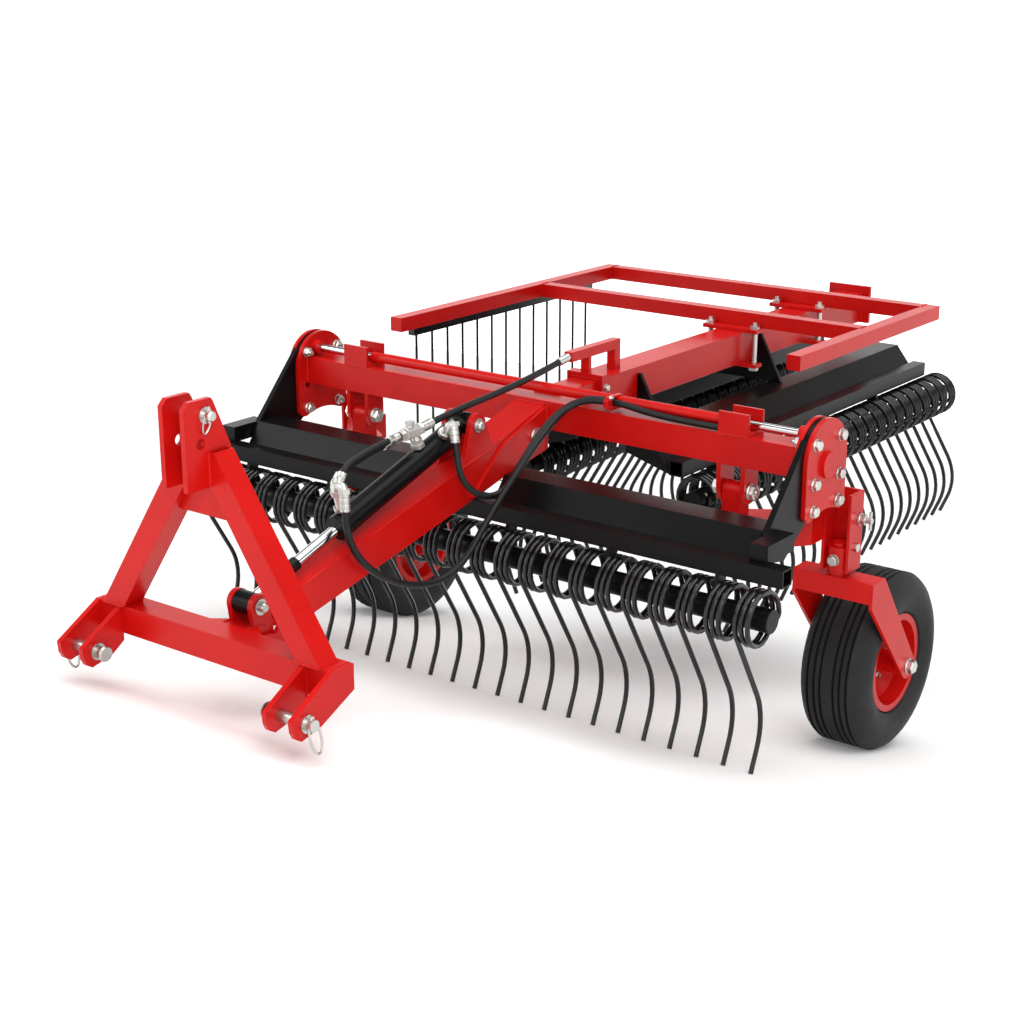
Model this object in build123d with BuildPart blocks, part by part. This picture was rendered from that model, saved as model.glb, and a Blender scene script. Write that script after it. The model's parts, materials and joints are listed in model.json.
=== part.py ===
from build123d import *
from math import asin, atan2, cos, degrees, hypot, pi, radians, sin, tan
import os

# Mounted spring-tine hay rake: a front row of tines across the machine and two rear rows along a
# middle beam. Sizes are in millimetres. The machine is drawn level, with X to the right, Y to the
# rear and Z up, its wheels on Z = 0 and the front face of its front beam on Y = 0. The pieces are
# then pitched nose down about the axles, the way the unhitched rake rests on its front tines.

# Hitch to a tractor's lower links and top link
LINK_SPREAD = 683
LINK_PIN_D = 28
LINK_PIN_L = 140
LINK_GAP = 65
LINK_Y = -1318
LINK_Z = 554
CLEVIS_PLATE = 14
TOP_PIN_D = 25
TOP_PIN_Y = -1247
MAST_HEIGHT = 618
MAST_HOLE_DROP = 64
MAST_HOLE_D = 26
MAST_GAP = 55
MAST_PLATE = 14
CROSS_TUBE = 70
CROSS_WALL = 6
CROSS_Y = -1200
CROSS_Z = 610
LEG_TUBE = 60
LEG_WALL = 5
LEG_Y = -1210
LEG_FOOT_X = 320
LEG_HEAD_X = 21
LEG_HEAD_Z = 1085
GUSSET_H = 80
EAR_PLATE = 14
EAR_GAP = 54
EAR_R = 30
BASE_PLATE = 15
BASE_Z = 620
BASE_HALF = 110
BASE_BACK_Y = -1060

# Hinge of the hitch on the tongue, and the cylinder that tilts it
HINGE_Y = -1090
HINGE_Z = 580
HINGE_PIN_D = 28
ROD_PIN_Y = -1104
ROD_PIN_Z = 680
ROD_PIN_D = 25
ROD_EYE_BORE = 34
ROD_EYE_D = 56
ROD_EYE_W = 50
BASE_PIN_Y = -293
BASE_PIN_Z = 947
BASE_PIN_D = 25
BASE_EYE_D = 60
BASE_EYE_W = 66
BARREL_D = 64
BARREL_BORE = 50
BARREL_END = 528
ROD_D = 30
ROD_INSIDE = 180
GLAND_D = 66
GLAND_L = 40
ROD_COLLAR_D = 34
ROD_COLLAR_AT = 680
ROD_COLLAR_L = 45
PIN_RUN = 0.05
SIDE_RUN = 2

# Hoses of the cylinder, each with the points that it is bent around, and their fittings. The hoses
# lie on the frame, so each enters its fitting with room for the barrel's swing.
HOSE_D = 18
HOSE_FRONT = [
    (42, -806, 860),
    (47, -811, 815),
    (60, -815, 771),
    (78, -803, 726),
    (91, -768, 683),
    (102, -711, 644),
    (112, -643, 614),
    (124, -570, 603),
    (137, -505, 617),
    (148, -455, 658),
    (156, -412, 713),
    (160, -352, 770),
    (160, -270, 833),
    (156, -160, 903),
    (151, -62, 951),
    (175, -27, 973),
    (215, -7, 985),
    (260, -7, 985),
]
HOSE_BASE = [
    (52, -396, 944),
    (64, -403, 902),
    (82, -412, 843),
    (103, -391, 799),
    (124, -348, 776),
    (136, -296, 781),
    (138, -222, 843),
    (133, -145, 900),
    (132, -53, 944),
    (161, -10, 970),
    (210, 14, 985),
    (300, 14, 981),
    (375, 14, 971),
    (455, 15, 966),
    (530, 16, 965),
    (603.8, 15, 965),
]
HOSE_UPPER = [(0, -446, 972), (2, -340, 987), (6, -160, 1000), (4, 20, 1016), (0, 178.6, 1039)]
HOSE_SHARE = 0.45
FERRULE_D = 30
FERRULE_RUN = 3.5
FERRULE_L = 52
FERRULE_GRIP = 22
PORT_D = 26
FRONT_PORT = 495
FRONT_PORT_TOP = 108
VALVE_PORT = 186
VALVE_PORT_TOP = 72
BASE_PORT = 104
BASE_PORT_TOP = 66
BASE_PORT_LEAN = 37
PIPE_OIL_D = 16
OIL_LINE = [(0, -790, 884), (0, -752, 936), (0, -645, 958), (0, -540, 966)]
OIL_BEND_R = 40

# Tongue
TONGUE_W = 100
TONGUE_WALL = 6
TONGUE_FRONT_Y = -990
TONGUE_FRONT_LOW = 604
TONGUE_FRONT_TOP = 690
TONGUE_KNEE_Y = -320
TONGUE_KNEE_LOW = 748
TONGUE_KNEE_TOP = 853
TONGUE_REAR_LOW = 822
TONGUE_REAR_TOP = 945
NOSE_L = 30
NOSE_DROP = 8
CHEEK = 12
LUG = 14
LUG_R = 32
SIDE_PLATE = 8

# Front beam with its end plates
BEAM = 80
BEAM_WALL = 6
BEAM_HALF = 847
BEAM_TOP = 955
END_PLATE = 12
END_R = 105
END_Y = 65
END_ARC_Z = 920
END_LOW = 772
END_CORNER = 16
END_HOLLOW = 15
BOLT_HOLE_D = 21
BOLT_PITCH = 132
BOLT_ROWS = (970, 868, 797)
BOSS_D = 70
BOSS_T = 10
BOSS_Z = 905

# Pipe on the beam with its rods and flag brackets
PIPE_D = 30
PIPE_WALL = 4
PIPE_Y = 40
PIPE_HALF = 612
PIPE_ROD_D = 22
COLLAR_D = 42
COLLAR_L = 24
FLAG_W = 90
FLAG_T = 8
FLAG_FLOOR = 11
FLAG_H = 60
STRAP_L = 14
STRAP_EDGE = 4

# Spring tines, their bars, and the hood section above each row, measured from the coil's centre
WIRE_D = 14
WIRE_STEP = 13.5
COIL_R = 68
LEG_D = 13
LEG_LEAN = 31.2
LEG_RUN = 222
BEND_R = 165
TIP_CURL = 23.1
TIP_RUN = 63
SPOKE_D = 12
COIL_Z = 617
BAR_D = 60
BAR_WALL = 5
BAR_OVERHANG = 43
PAD_W = 24
PAD_H = 28
PAD_OUT = 36
HANGER = 12
LIP = 45
LIP_WALL = 4
LIP_IN = 8
LIP_LIFT = 83
SHEET = 6
HOOD_LIFT = 177
FACE_LIFT = 95
RIDGE_IN = 118
FLAT_IN = 203
SKIRT = 50
CAP = 8
FRONT_COIL_Y = -320
FRONT_PITCH = 80
FRONT_COUNT = 24
LIP_HALF = 980
NOTCH_HALF = 66
ARM_PLATE = 16
FOOT_W = 50
FOOT_L = 130
FOOT_H = 45
REAR_COIL_X = 305
REAR_PITCH = 69
REAR_COUNT = 24
REAR_FIRST_Y = 420
REAR_HOOD_Y0 = 330
REAR_HOOD_Y1 = 1925

# Middle beam with what it carries
MID_W = 100
MID_WALL = 6
MID_TOP = 965
MID_Y0 = 260
MID_Y1 = 1900
STUB_RUN = 0.3
STUB_END_Y = 330
COLLAR_T = 12
COLLAR_Y0 = 262
COLLAR_Y1 = 300
TAIL_PLATE = 12
TAIL_W = 160
TAIL_H = 130
TAIL_RISE = 27
HOSE_BAR = 28
HOSE_BAR_LOW = 1025
HOSE_BAR_Y0 = 180
HOSE_BAR_Y1 = 423
YOKE = 12
YOKE_YS = (468, 1175)
YOKE_FOOT = 141
YOKE_TOP_Z = 945

# Upper frame
FRAME_TUBE = 45
FRAME_WALL = 4
FRAME_LEFT = -828
FRAME_RIGHT = 484
FRAME_Y_LEFT = 366
FRAME_Y_RIGHT = 652
CROSS_MEMBER_YS = (1112, 1545)
CLAMP_PLATE = 12
CLAMP_HALF = 100
CLAMP_DEPTH = 87
STRAP_W = 42
CLAMP_BOLT_X = 82
CLAMP_BOLT_D = 16
BOLT_HEAD_D = 26
BOLT_HEAD_H = 10
COMB_BAR = 25
COMB_WIRE_D = 8
COMB_L = 400
COMB_PITCH = 79
COMB_COUNT = 13
COMB_FIRST_Y = 464

# Wheels, casters and their carriers
TYRE_R = 254
TYRE_W = 203
RIM_R = 127
RIM_W = 150
RIM_SHEET = 6
RIM_FLANGE = 13
WHEEL_X = 855
AXLE_Y = 445
AXLE_D = 25
AXLE_NUT = 16
HUB_D = 62
HUB_HALF = 102.5
FORK_PLATE = 10
FORK_RUN = 6.5
FORK_TOP = 562
FORK_H = 57
FORK_DEPTH = 70
FORK_END_R = 36
KINGPIN_Y = 230
KINGPIN_D = 45
SHOULDER_D = 60
SWIVEL_RUN = 0.3
SLEEVE_D = 67
SLEEVE_L = 65
POST_W = 80
POST_FRONT = 32
POST_BACK = 40
POST_LOW = 575
POST_TOP = 790
POST_PLATE = 8
ARM_LOW = 655
ARM_H = 80
ARM_INSIDE = 600
BUSH_X = 646
BUSH_L = 56
BUSH_GAP = 60
BUSH_EAR = 12
BUSH_D = 46
BUSH_BOLT_D = 24
BUSH_Y = 30
BUSH_Z = 805
EAR_Y1 = 70

os.makedirs("parts", exist_ok=True)
pieces = []


def keep(builder, name):
    """Label a finished sub-part and put it on the list to be written."""
    builder.part.label = name
    pieces.append(builder.part)


def block(low, high, mode=Mode.ADD):
    """A box between two corners."""
    size = [b - a for a, b in zip(low, high)]
    middle = [(a + b) / 2 for a, b in zip(low, high)]
    with Locations(tuple(middle)):
        Box(*size, mode=mode)


def rod_x(x0, x1, y, z, diameter, mode=Mode.ADD):
    """A round bar along X."""
    with Locations(((x0 + x1) / 2, y, z)):
        Cylinder(diameter / 2, x1 - x0, rotation=(0, 90, 0), mode=mode)


def rod_z(x, y, z0, z1, diameter, mode=Mode.ADD):
    """A round bar along Z."""
    with Locations((x, y, (z0 + z1) / 2)):
        Cylinder(diameter / 2, z1 - z0, mode=mode)


def slab(plane, outline, thickness, mode=Mode.ADD):
    """A plate on a plane, from an outline of points."""
    with BuildSketch(plane) as face:
        with BuildLine():
            Polyline(*outline, close=True)
        make_face()
    extrude(face.sketch, amount=thickness, mode=mode)


def plate_x(outline, x0, x1, mode=Mode.ADD):
    """A plate across X from an outline of (y, z) points."""
    slab(Plane.YZ.offset(x0), outline, x1 - x0, mode)


def plate_y(outline, y0, y1, mode=Mode.ADD):
    """A plate across Y from an outline of (x, z) points."""
    slab(Plane.XZ.offset(-y1), outline, y1 - y0, mode)


def span(low, high, side):
    """A right-hand range of X, or its mirror image where side is -1."""
    return (low, high) if side > 0 else (-high, -low)


# Hitch: lower cross tube
cross_half = LINK_SPREAD / 2 + LINK_GAP / 2
cross_front = CROSS_Y - CROSS_TUBE / 2
cross_back = CROSS_Y + CROSS_TUBE / 2
cross_low = CROSS_Z - CROSS_TUBE / 2
cross_top = CROSS_Z + CROSS_TUBE / 2
with BuildPart() as hitch_cross_tube:
    block((-cross_half, cross_front, cross_low), (cross_half, cross_back, cross_top))
    block(
        (-cross_half, cross_front + CROSS_WALL, cross_low + CROSS_WALL),
        (cross_half, cross_back - CROSS_WALL, cross_top - CROSS_WALL),
        Mode.SUBTRACT,
    )
keep(hitch_cross_tube, "hitch_cross_tube")

# Hitch: lower clevises, each an inner plate on the tube's front and an outer plate on its end
clevis_nose = [
    (LINK_Y - 45, LINK_Z + 18),
    (LINK_Y - 42, LINK_Z - 10),
    (LINK_Y - 34, LINK_Z - 26),
    (LINK_Y - 18, LINK_Z - 36),
    (LINK_Y + 45, LINK_Z - 22),
]
with BuildPart() as hitch_clevises:
    for side in (-1, 1):
        inner = span(LINK_SPREAD / 2 - LINK_GAP / 2 - CLEVIS_PLATE, LINK_SPREAD / 2 - LINK_GAP / 2, side)
        outer = span(cross_half, cross_half + CLEVIS_PLATE, side)
        plate_x([(cross_front, cross_top)] + clevis_nose + [(cross_front, cross_low - 18)], *inner)
        plate_x(
            [(cross_back, cross_top), (cross_front, cross_top)] + clevis_nose + [(cross_back, cross_low + 8)],
            *outer,
        )
        rod_x(inner[0], inner[1], LINK_Y, LINK_Z, LINK_PIN_D + 2 * PIN_RUN, Mode.SUBTRACT)
        rod_x(outer[0], outer[1], LINK_Y, LINK_Z, LINK_PIN_D + 2 * PIN_RUN, Mode.SUBTRACT)
keep(hitch_clevises, "hitch_clevises")

# Hitch: two leaning legs that stand on the cross tube and meet the outsides of the mast plates
mast_half = MAST_GAP / 2 + MAST_PLATE
leg_slope = (LEG_FOOT_X - LEG_HEAD_X) / (LEG_HEAD_Z - cross_top)
leg_stretch = hypot(1, leg_slope)


def leg_x(z):
    """X of the right leg's middle at a height."""
    return LEG_FOOT_X - leg_slope * (z - cross_top)


with BuildPart() as hitch_legs:
    for inset, mode in ((0, Mode.ADD), (LEG_WALL, Mode.SUBTRACT)):
        half = (LEG_TUBE / 2 - inset) * leg_stretch
        for side in (-1, 1):
            plate_y(
                [
                    (side * (leg_x(cross_top) - half), cross_top),
                    (side * (leg_x(cross_top) + half), cross_top),
                    (side * (leg_x(LEG_HEAD_Z) + half), LEG_HEAD_Z),
                    (side * (leg_x(LEG_HEAD_Z) - half), LEG_HEAD_Z),
                ],
                LEG_Y - LEG_TUBE / 2 + inset,
                LEG_Y + LEG_TUBE / 2 - inset,
                mode,
            )
    block(
        (-mast_half, LEG_Y - LEG_TUBE, cross_top),
        (mast_half, LEG_Y + LEG_TUBE, LEG_HEAD_Z),
        Mode.SUBTRACT,
    )
keep(hitch_legs, "hitch_legs")

# Hitch: mast of two plates over a gusset between the legs, with an upper pin and an empty hole
top_pin_z = LINK_Z + MAST_HEIGHT
mast_top = top_pin_z + 36
mast_front = TOP_PIN_Y - 61
mast_back = TOP_PIN_Y + 74
mast_low = LEG_HEAD_Z - GUSSET_H
hole_y = TOP_PIN_Y - 15
hole_z = top_pin_z - MAST_HOLE_DROP
with BuildPart() as hitch_mast:
    for side in (-1, 1):
        plate_x(
            [
                (mast_front, mast_low),
                (mast_front, mast_top - 16),
                (mast_front + 16, mast_top),
                (TOP_PIN_Y + 20, mast_top),
                (TOP_PIN_Y + 26, mast_top - 8),
                (mast_back, top_pin_z - 82),
                (mast_back, mast_low),
            ],
            *span(MAST_GAP / 2, mast_half, side),
        )
    gusset_foot = leg_x(mast_low - GUSSET_H) - LEG_TUBE / 2 * leg_stretch
    gusset_head = leg_x(mast_low) - LEG_TUBE / 2 * leg_stretch
    plate_y(
        [
            (-gusset_foot, mast_low - GUSSET_H),
            (gusset_foot, mast_low - GUSSET_H),
            (gusset_head, mast_low),
            (MAST_GAP / 2, mast_low + 10),
            (-MAST_GAP / 2, mast_low + 10),
            (-gusset_head, mast_low),
        ],
        LEG_Y - MAST_PLATE / 2,
        LEG_Y + MAST_PLATE / 2,
    )
    rod_x(-mast_half, mast_half, TOP_PIN_Y, top_pin_z, TOP_PIN_D + 2 * PIN_RUN, Mode.SUBTRACT)
    rod_x(-mast_half, mast_half, hole_y, hole_z, MAST_HOLE_D, Mode.SUBTRACT)
keep(hitch_mast, "hitch_mast")

# Hitch: base plate behind the cross tube with two ears for the hinge pin and the rod pin
ear_outer = EAR_GAP / 2 + EAR_PLATE
with BuildPart() as hitch_ears:
    slab(
        Plane.XY.offset(BASE_Z),
        [
            (-BASE_HALF, cross_back),
            (BASE_HALF, cross_back),
            (ear_outer, cross_back + 50),
            (ear_outer, BASE_BACK_Y),
            (-ear_outer, BASE_BACK_Y),
            (-ear_outer, cross_back + 50),
        ],
        BASE_PLATE,
    )
    for side in (-1, 1):
        x0, x1 = span(EAR_GAP / 2, ear_outer, side)
        plate_x(
            [
                (HINGE_Y - EAR_R, HINGE_Z),
                (HINGE_Y + EAR_R, HINGE_Z),
                (ROD_PIN_Y + EAR_R, ROD_PIN_Z),
                (ROD_PIN_Y - EAR_R, ROD_PIN_Z),
            ],
            x0,
            x1,
        )
        rod_x(x0, x1, ROD_PIN_Y, ROD_PIN_Z, 2 * EAR_R)
        rod_x(x0, x1, HINGE_Y, HINGE_Z, 2 * EAR_R)
    rod_x(-BASE_HALF, BASE_HALF, ROD_PIN_Y, ROD_PIN_Z, ROD_PIN_D + 2 * PIN_RUN, Mode.SUBTRACT)
    rod_x(-BASE_HALF, BASE_HALF, HINGE_Y, HINGE_Z, HINGE_PIN_D + 2 * PIN_RUN, Mode.SUBTRACT)
keep(hitch_ears, "hitch_ears")

# Hitch: two lower link pins, the top pin, the rod pin and the hinge pin
cheek_inner = ear_outer + SIDE_RUN
cheek_outer = cheek_inner + CHEEK
with BuildPart() as hitch_pins:
    for middle in (-LINK_SPREAD / 2, LINK_SPREAD / 2):
        rod_x(middle - LINK_PIN_L / 2, middle + LINK_PIN_L / 2, LINK_Y, LINK_Z, LINK_PIN_D)
    rod_x(-mast_half - 22, mast_half + 22, TOP_PIN_Y, top_pin_z, TOP_PIN_D)
    rod_x(-ear_outer - 14, ear_outer + 14, ROD_PIN_Y, ROD_PIN_Z, ROD_PIN_D)
    rod_x(-cheek_outer - 10, cheek_outer + 10, HINGE_Y, HINGE_Z, HINGE_PIN_D)
keep(hitch_pins, "hitch_pins")

# Tongue: a tapered box with a smaller nose, hinge cheeks, side plates at the beam and lugs for the
# cylinder's base pin


def tongue_line(y, front, knee, rear):
    """Height at y of the tongue's upper or lower line, which has a knee ahead of the beam."""
    if y < TONGUE_KNEE_Y:
        return front + (knee - front) * (y - TONGUE_FRONT_Y) / (TONGUE_KNEE_Y - TONGUE_FRONT_Y)
    return knee + (rear - knee) * (y - TONGUE_KNEE_Y) / -TONGUE_KNEE_Y


def tongue_top(y):
    """Height of the tongue's upper face."""
    return tongue_line(y, TONGUE_FRONT_TOP, TONGUE_KNEE_TOP, TONGUE_REAR_TOP)


def tongue_low(y):
    """Height of the tongue's lower face."""
    return tongue_line(y, TONGUE_FRONT_LOW, TONGUE_KNEE_LOW, TONGUE_REAR_LOW)


def tongue_side(y0, y1, inset):
    """The tongue's side outline between two places, drawn in by the inset."""
    return [
        (y0, tongue_low(y0) + inset),
        (TONGUE_KNEE_Y, TONGUE_KNEE_LOW + inset),
        (y1, tongue_low(y1) + inset),
        (y1, tongue_top(y1) - inset),
        (TONGUE_KNEE_Y, TONGUE_KNEE_TOP - inset),
        (y0, tongue_top(y0) - inset),
    ]


nose_y = TONGUE_FRONT_Y - NOSE_L
lug_inner = BASE_EYE_W / 2 + SIDE_RUN
with BuildPart() as tongue:
    plate_x(tongue_side(TONGUE_FRONT_Y, 0, 0), -TONGUE_W / 2, TONGUE_W / 2)
    plate_x(
        tongue_side(TONGUE_FRONT_Y + TONGUE_WALL, -TONGUE_WALL, TONGUE_WALL),
        -TONGUE_W / 2 + TONGUE_WALL,
        TONGUE_W / 2 - TONGUE_WALL,
        Mode.SUBTRACT,
    )
    plate_x(
        [
            (TONGUE_FRONT_Y, TONGUE_FRONT_LOW),
            (TONGUE_FRONT_Y, TONGUE_FRONT_TOP - NOSE_DROP),
            (nose_y, tongue_top(nose_y) - NOSE_DROP),
            (nose_y, tongue_low(nose_y)),
        ],
        -cheek_inner,
        cheek_inner,
    )
    for side in (-1, 1):
        x0, x1 = span(cheek_inner, cheek_outer, side)
        plate_x(
            [
                (HINGE_Y, HINGE_Z - EAR_R),
                (nose_y, tongue_low(nose_y) - 14),
                (TONGUE_FRONT_Y, TONGUE_FRONT_LOW + 2),
                (TONGUE_FRONT_Y, TONGUE_FRONT_TOP - 3 * NOSE_DROP),
                (nose_y, tongue_top(nose_y) - 3 * NOSE_DROP),
                (HINGE_Y + 0.6 * EAR_R, HINGE_Z + 0.8 * EAR_R),
                (HINGE_Y - 0.6 * EAR_R, HINGE_Z + 0.8 * EAR_R),
            ],
            x0,
            x1,
        )
        rod_x(x0, x1, HINGE_Y, HINGE_Z, 2 * EAR_R)
        x0, x1 = span(TONGUE_W / 2, TONGUE_W / 2 + SIDE_PLATE, side)
        plate_x(
            [
                (TONGUE_KNEE_Y - 10, tongue_low(TONGUE_KNEE_Y - 10) + 12),
                (0, TONGUE_REAR_LOW - 4),
                (0, TONGUE_REAR_TOP - 4),
                (0.6 * TONGUE_KNEE_Y, tongue_top(0.6 * TONGUE_KNEE_Y) - 14),
            ],
            x0,
            x1,
        )
        x0, x1 = span(lug_inner, lug_inner + LUG, side)
        plate_x(
            [
                (BASE_PIN_Y - 2 * LUG_R, tongue_top(BASE_PIN_Y - 2 * LUG_R) - TONGUE_WALL / 2),
                (BASE_PIN_Y + 2 * LUG_R, tongue_top(BASE_PIN_Y + 2 * LUG_R) - TONGUE_WALL / 2),
                (BASE_PIN_Y + LUG_R, BASE_PIN_Z),
                (BASE_PIN_Y - LUG_R, BASE_PIN_Z),
            ],
            x0,
            x1,
        )
        rod_x(x0, x1, BASE_PIN_Y, BASE_PIN_Z, 2 * LUG_R)
    rod_x(-TONGUE_W, TONGUE_W, HINGE_Y, HINGE_Z, HINGE_PIN_D + 2 * PIN_RUN, Mode.SUBTRACT)
    rod_x(-TONGUE_W, TONGUE_W, BASE_PIN_Y, BASE_PIN_Z, BASE_PIN_D + 2 * PIN_RUN, Mode.SUBTRACT)
keep(tongue, "tongue")

with BuildPart() as cylinder_base_pin:
    rod_x(-lug_inner - LUG - 12, lug_inner + LUG + 12, BASE_PIN_Y, BASE_PIN_Z, BASE_PIN_D)
keep(cylinder_base_pin, "cylinder_base_pin")

# Cylinder: the barrel turns on the base pin and the rod slides in its gland
cylinder_length = hypot(ROD_PIN_Y - BASE_PIN_Y, ROD_PIN_Z - BASE_PIN_Z)
along = Plane(
    origin=(0, BASE_PIN_Y, BASE_PIN_Z),
    x_dir=(1, 0, 0),
    z_dir=(0, ROD_PIN_Y - BASE_PIN_Y, ROD_PIN_Z - BASE_PIN_Z),
)
gland_start = BARREL_END - GLAND_L
barrel_start = BASE_EYE_D / 2 + 22


def along_axis(start, end, diameter, mode=Mode.ADD):
    """A round bar along the cylinder's axis, between two distances from the base pin."""
    with BuildSketch(along.offset(start)) as ring:
        Circle(diameter / 2)
    extrude(ring.sketch, amount=end - start, mode=mode)


with BuildPart() as cylinder_barrel:
    along_axis(0, barrel_start, 0.75 * BASE_EYE_D)
    along_axis(barrel_start, BARREL_END, BARREL_D)
    along_axis(gland_start, BARREL_END, GLAND_D)
    rod_x(-BASE_EYE_W / 2, BASE_EYE_W / 2, BASE_PIN_Y, BASE_PIN_Z, BASE_EYE_D)
    along_axis(barrel_start + 20, gland_start, BARREL_BORE, Mode.SUBTRACT)
    along_axis(gland_start, BARREL_END, ROD_D + 2 * PIN_RUN, Mode.SUBTRACT)
    rod_x(-BASE_EYE_W, BASE_EYE_W, BASE_PIN_Y, BASE_PIN_Z, BASE_PIN_D + 2 * PIN_RUN, Mode.SUBTRACT)
keep(cylinder_barrel, "cylinder_barrel")

with BuildPart() as cylinder_rod:
    along_axis(gland_start - ROD_INSIDE, cylinder_length, ROD_D)
    along_axis(gland_start - ROD_INSIDE, gland_start - ROD_INSIDE + 40, BARREL_BORE - 2)
    along_axis(ROD_COLLAR_AT, ROD_COLLAR_AT + ROD_COLLAR_L, ROD_COLLAR_D)
    rod_x(-ROD_EYE_W / 2, ROD_EYE_W / 2, ROD_PIN_Y, ROD_PIN_Z, ROD_EYE_D)
    rod_x(-ROD_EYE_W, ROD_EYE_W, ROD_PIN_Y, ROD_PIN_Z, ROD_EYE_BORE, Mode.SUBTRACT)
keep(cylinder_rod, "cylinder_rod")


def bent_hose(points):
    """A hose along its points, each corner rounded by a share of its shorter run."""
    places = [Vector(*point) for point in points]
    runs = [(b - a).length for a, b in zip(places, places[1:])]
    bends = []
    for k in range(1, len(places) - 1):
        turn = (places[k] - places[k - 1]).get_angle(places[k + 1] - places[k])
        bends.append(HOSE_SHARE * min(runs[k - 1], runs[k]) / tan(radians(turn) / 2))
    with BuildLine() as path:
        FilletPolyline(*points, radius=bends)
    with BuildSketch(Plane(origin=path.line @ 0, z_dir=path.line % 0)) as ring:
        Circle(HOSE_D / 2)
    sweep(ring.sketch, path=path.line)
    length = path.wire().length
    bend = min(bends)
    print(f"hose {length:.0f} mm long, {pi * HOSE_D**2 / 4 * length:.0f} mm3, least bend {bend:.0f} mm")


def port(distance, top, lean_angle=0):
    """A round port on the cylinder's axis that stands up to a height above it, or leans to the right."""
    way = along.y_dir * cos(radians(lean_angle)) + along.x_dir * sin(radians(lean_angle))
    with BuildSketch(Plane(origin=along.from_local_coords((0, 0, distance)), z_dir=way)) as ring:
        Circle(PORT_D / 2)
    extrude(ring.sketch, amount=top)


def ferrule_plane(points):
    """The plane of a hose's first face, its z along the hose."""
    return Plane(origin=points[0], z_dir=Vector(*points[1]) - Vector(*points[0]))


def ferrule_body(points):
    """The outside of the ferrule that a hose's first end enters."""
    with BuildSketch(ferrule_plane(points).offset(FERRULE_GRIP - FERRULE_L)) as ring:
        Circle(FERRULE_D / 2)
    extrude(ring.sketch, amount=FERRULE_L)


def ferrule_bore(points):
    """The room around a hose's first end and ahead of it."""
    with BuildSketch(ferrule_plane(points).offset(-2 * FERRULE_RUN)) as ring:
        Circle(HOSE_D / 2 + FERRULE_RUN)
    extrude(ring.sketch, amount=FERRULE_GRIP + 2 * FERRULE_RUN, mode=Mode.SUBTRACT)


# Fittings on the barrel: a tee over the gland, a valve block, an elbow at the base and the steel
# line between the tee and the valve block
with BuildPart() as cylinder_fittings:
    port(FRONT_PORT, FRONT_PORT_TOP)
    port(VALVE_PORT, VALVE_PORT_TOP)
    port(BASE_PORT, BASE_PORT_TOP, BASE_PORT_LEAN)
    block((-18, -824, 872), (57, -778, 902))
    block((-20, -550, 948), (20, -474, 986))
    block((18, -424, 950), (62, -376, 984))
    with BuildLine() as line:
        FilletPolyline(*OIL_LINE, radius=OIL_BEND_R)
    with BuildSketch(Plane(origin=line.line @ 0, z_dir=line.line % 0)) as ring:
        Circle(PIPE_OIL_D / 2)
    sweep(ring.sketch, path=line.line)
    for points in (HOSE_FRONT, HOSE_BASE, HOSE_UPPER):
        ferrule_body(points)
    for points in (HOSE_FRONT, HOSE_BASE, HOSE_UPPER):
        ferrule_bore(points)
    along_axis(0, BARREL_END, BARREL_D, Mode.SUBTRACT)
    along_axis(gland_start, BARREL_END, GLAND_D, Mode.SUBTRACT)
keep(cylinder_fittings, "cylinder_fittings")

for points, word in ((HOSE_FRONT, "front"), (HOSE_BASE, "base"), (HOSE_UPPER, "upper")):
    with BuildPart() as hose:
        bent_hose(points)
    keep(hose, f"hose_{word}")

# Front beam
beam_low = BEAM_TOP - BEAM
with BuildPart() as front_beam:
    block((-BEAM_HALF, 0, beam_low), (BEAM_HALF, BEAM, BEAM_TOP))
    block(
        (-BEAM_HALF, BEAM_WALL, beam_low + BEAM_WALL),
        (BEAM_HALF, BEAM - BEAM_WALL, BEAM_TOP - BEAM_WALL),
        Mode.SUBTRACT,
    )
keep(front_beam, "front_beam")

# Pipe on the beam, the rods at its ends and the flag brackets around them
pipe_z = BEAM_TOP + FLAG_FLOOR + PIPE_D / 2
with BuildPart() as top_pipe:
    rod_x(-PIPE_HALF, PIPE_HALF, PIPE_Y, pipe_z, PIPE_D)
    rod_x(-PIPE_HALF, PIPE_HALF, PIPE_Y, pipe_z, PIPE_D - 2 * PIPE_WALL, Mode.SUBTRACT)
keep(top_pipe, "top_pipe")

with BuildPart() as top_pipe_rods:
    for side in (-1, 1):
        rod_x(*span(PIPE_HALF - 30, PIPE_HALF, side), PIPE_Y, pipe_z, PIPE_D - 2 * PIPE_WALL)
        rod_x(*span(PIPE_HALF - 30, BEAM_HALF, side), PIPE_Y, pipe_z, PIPE_ROD_D)
keep(top_pipe_rods, "top_pipe_rods")

with BuildPart() as flag_brackets:
    for side in (-1, 1):
        x0, x1 = span(PIPE_HALF - FLAG_T, PIPE_HALF - FLAG_T + FLAG_W, side)
        block((x0, 0, BEAM_TOP), (x1, FLAG_T, BEAM_TOP + FLAG_H))
        block((x0, BEAM - FLAG_T, BEAM_TOP), (x1, BEAM, BEAM_TOP + FLAG_H))
        block((x0, 0, BEAM_TOP), (x1, BEAM, BEAM_TOP + FLAG_FLOOR))
keep(flag_brackets, "flag_brackets")

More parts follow.
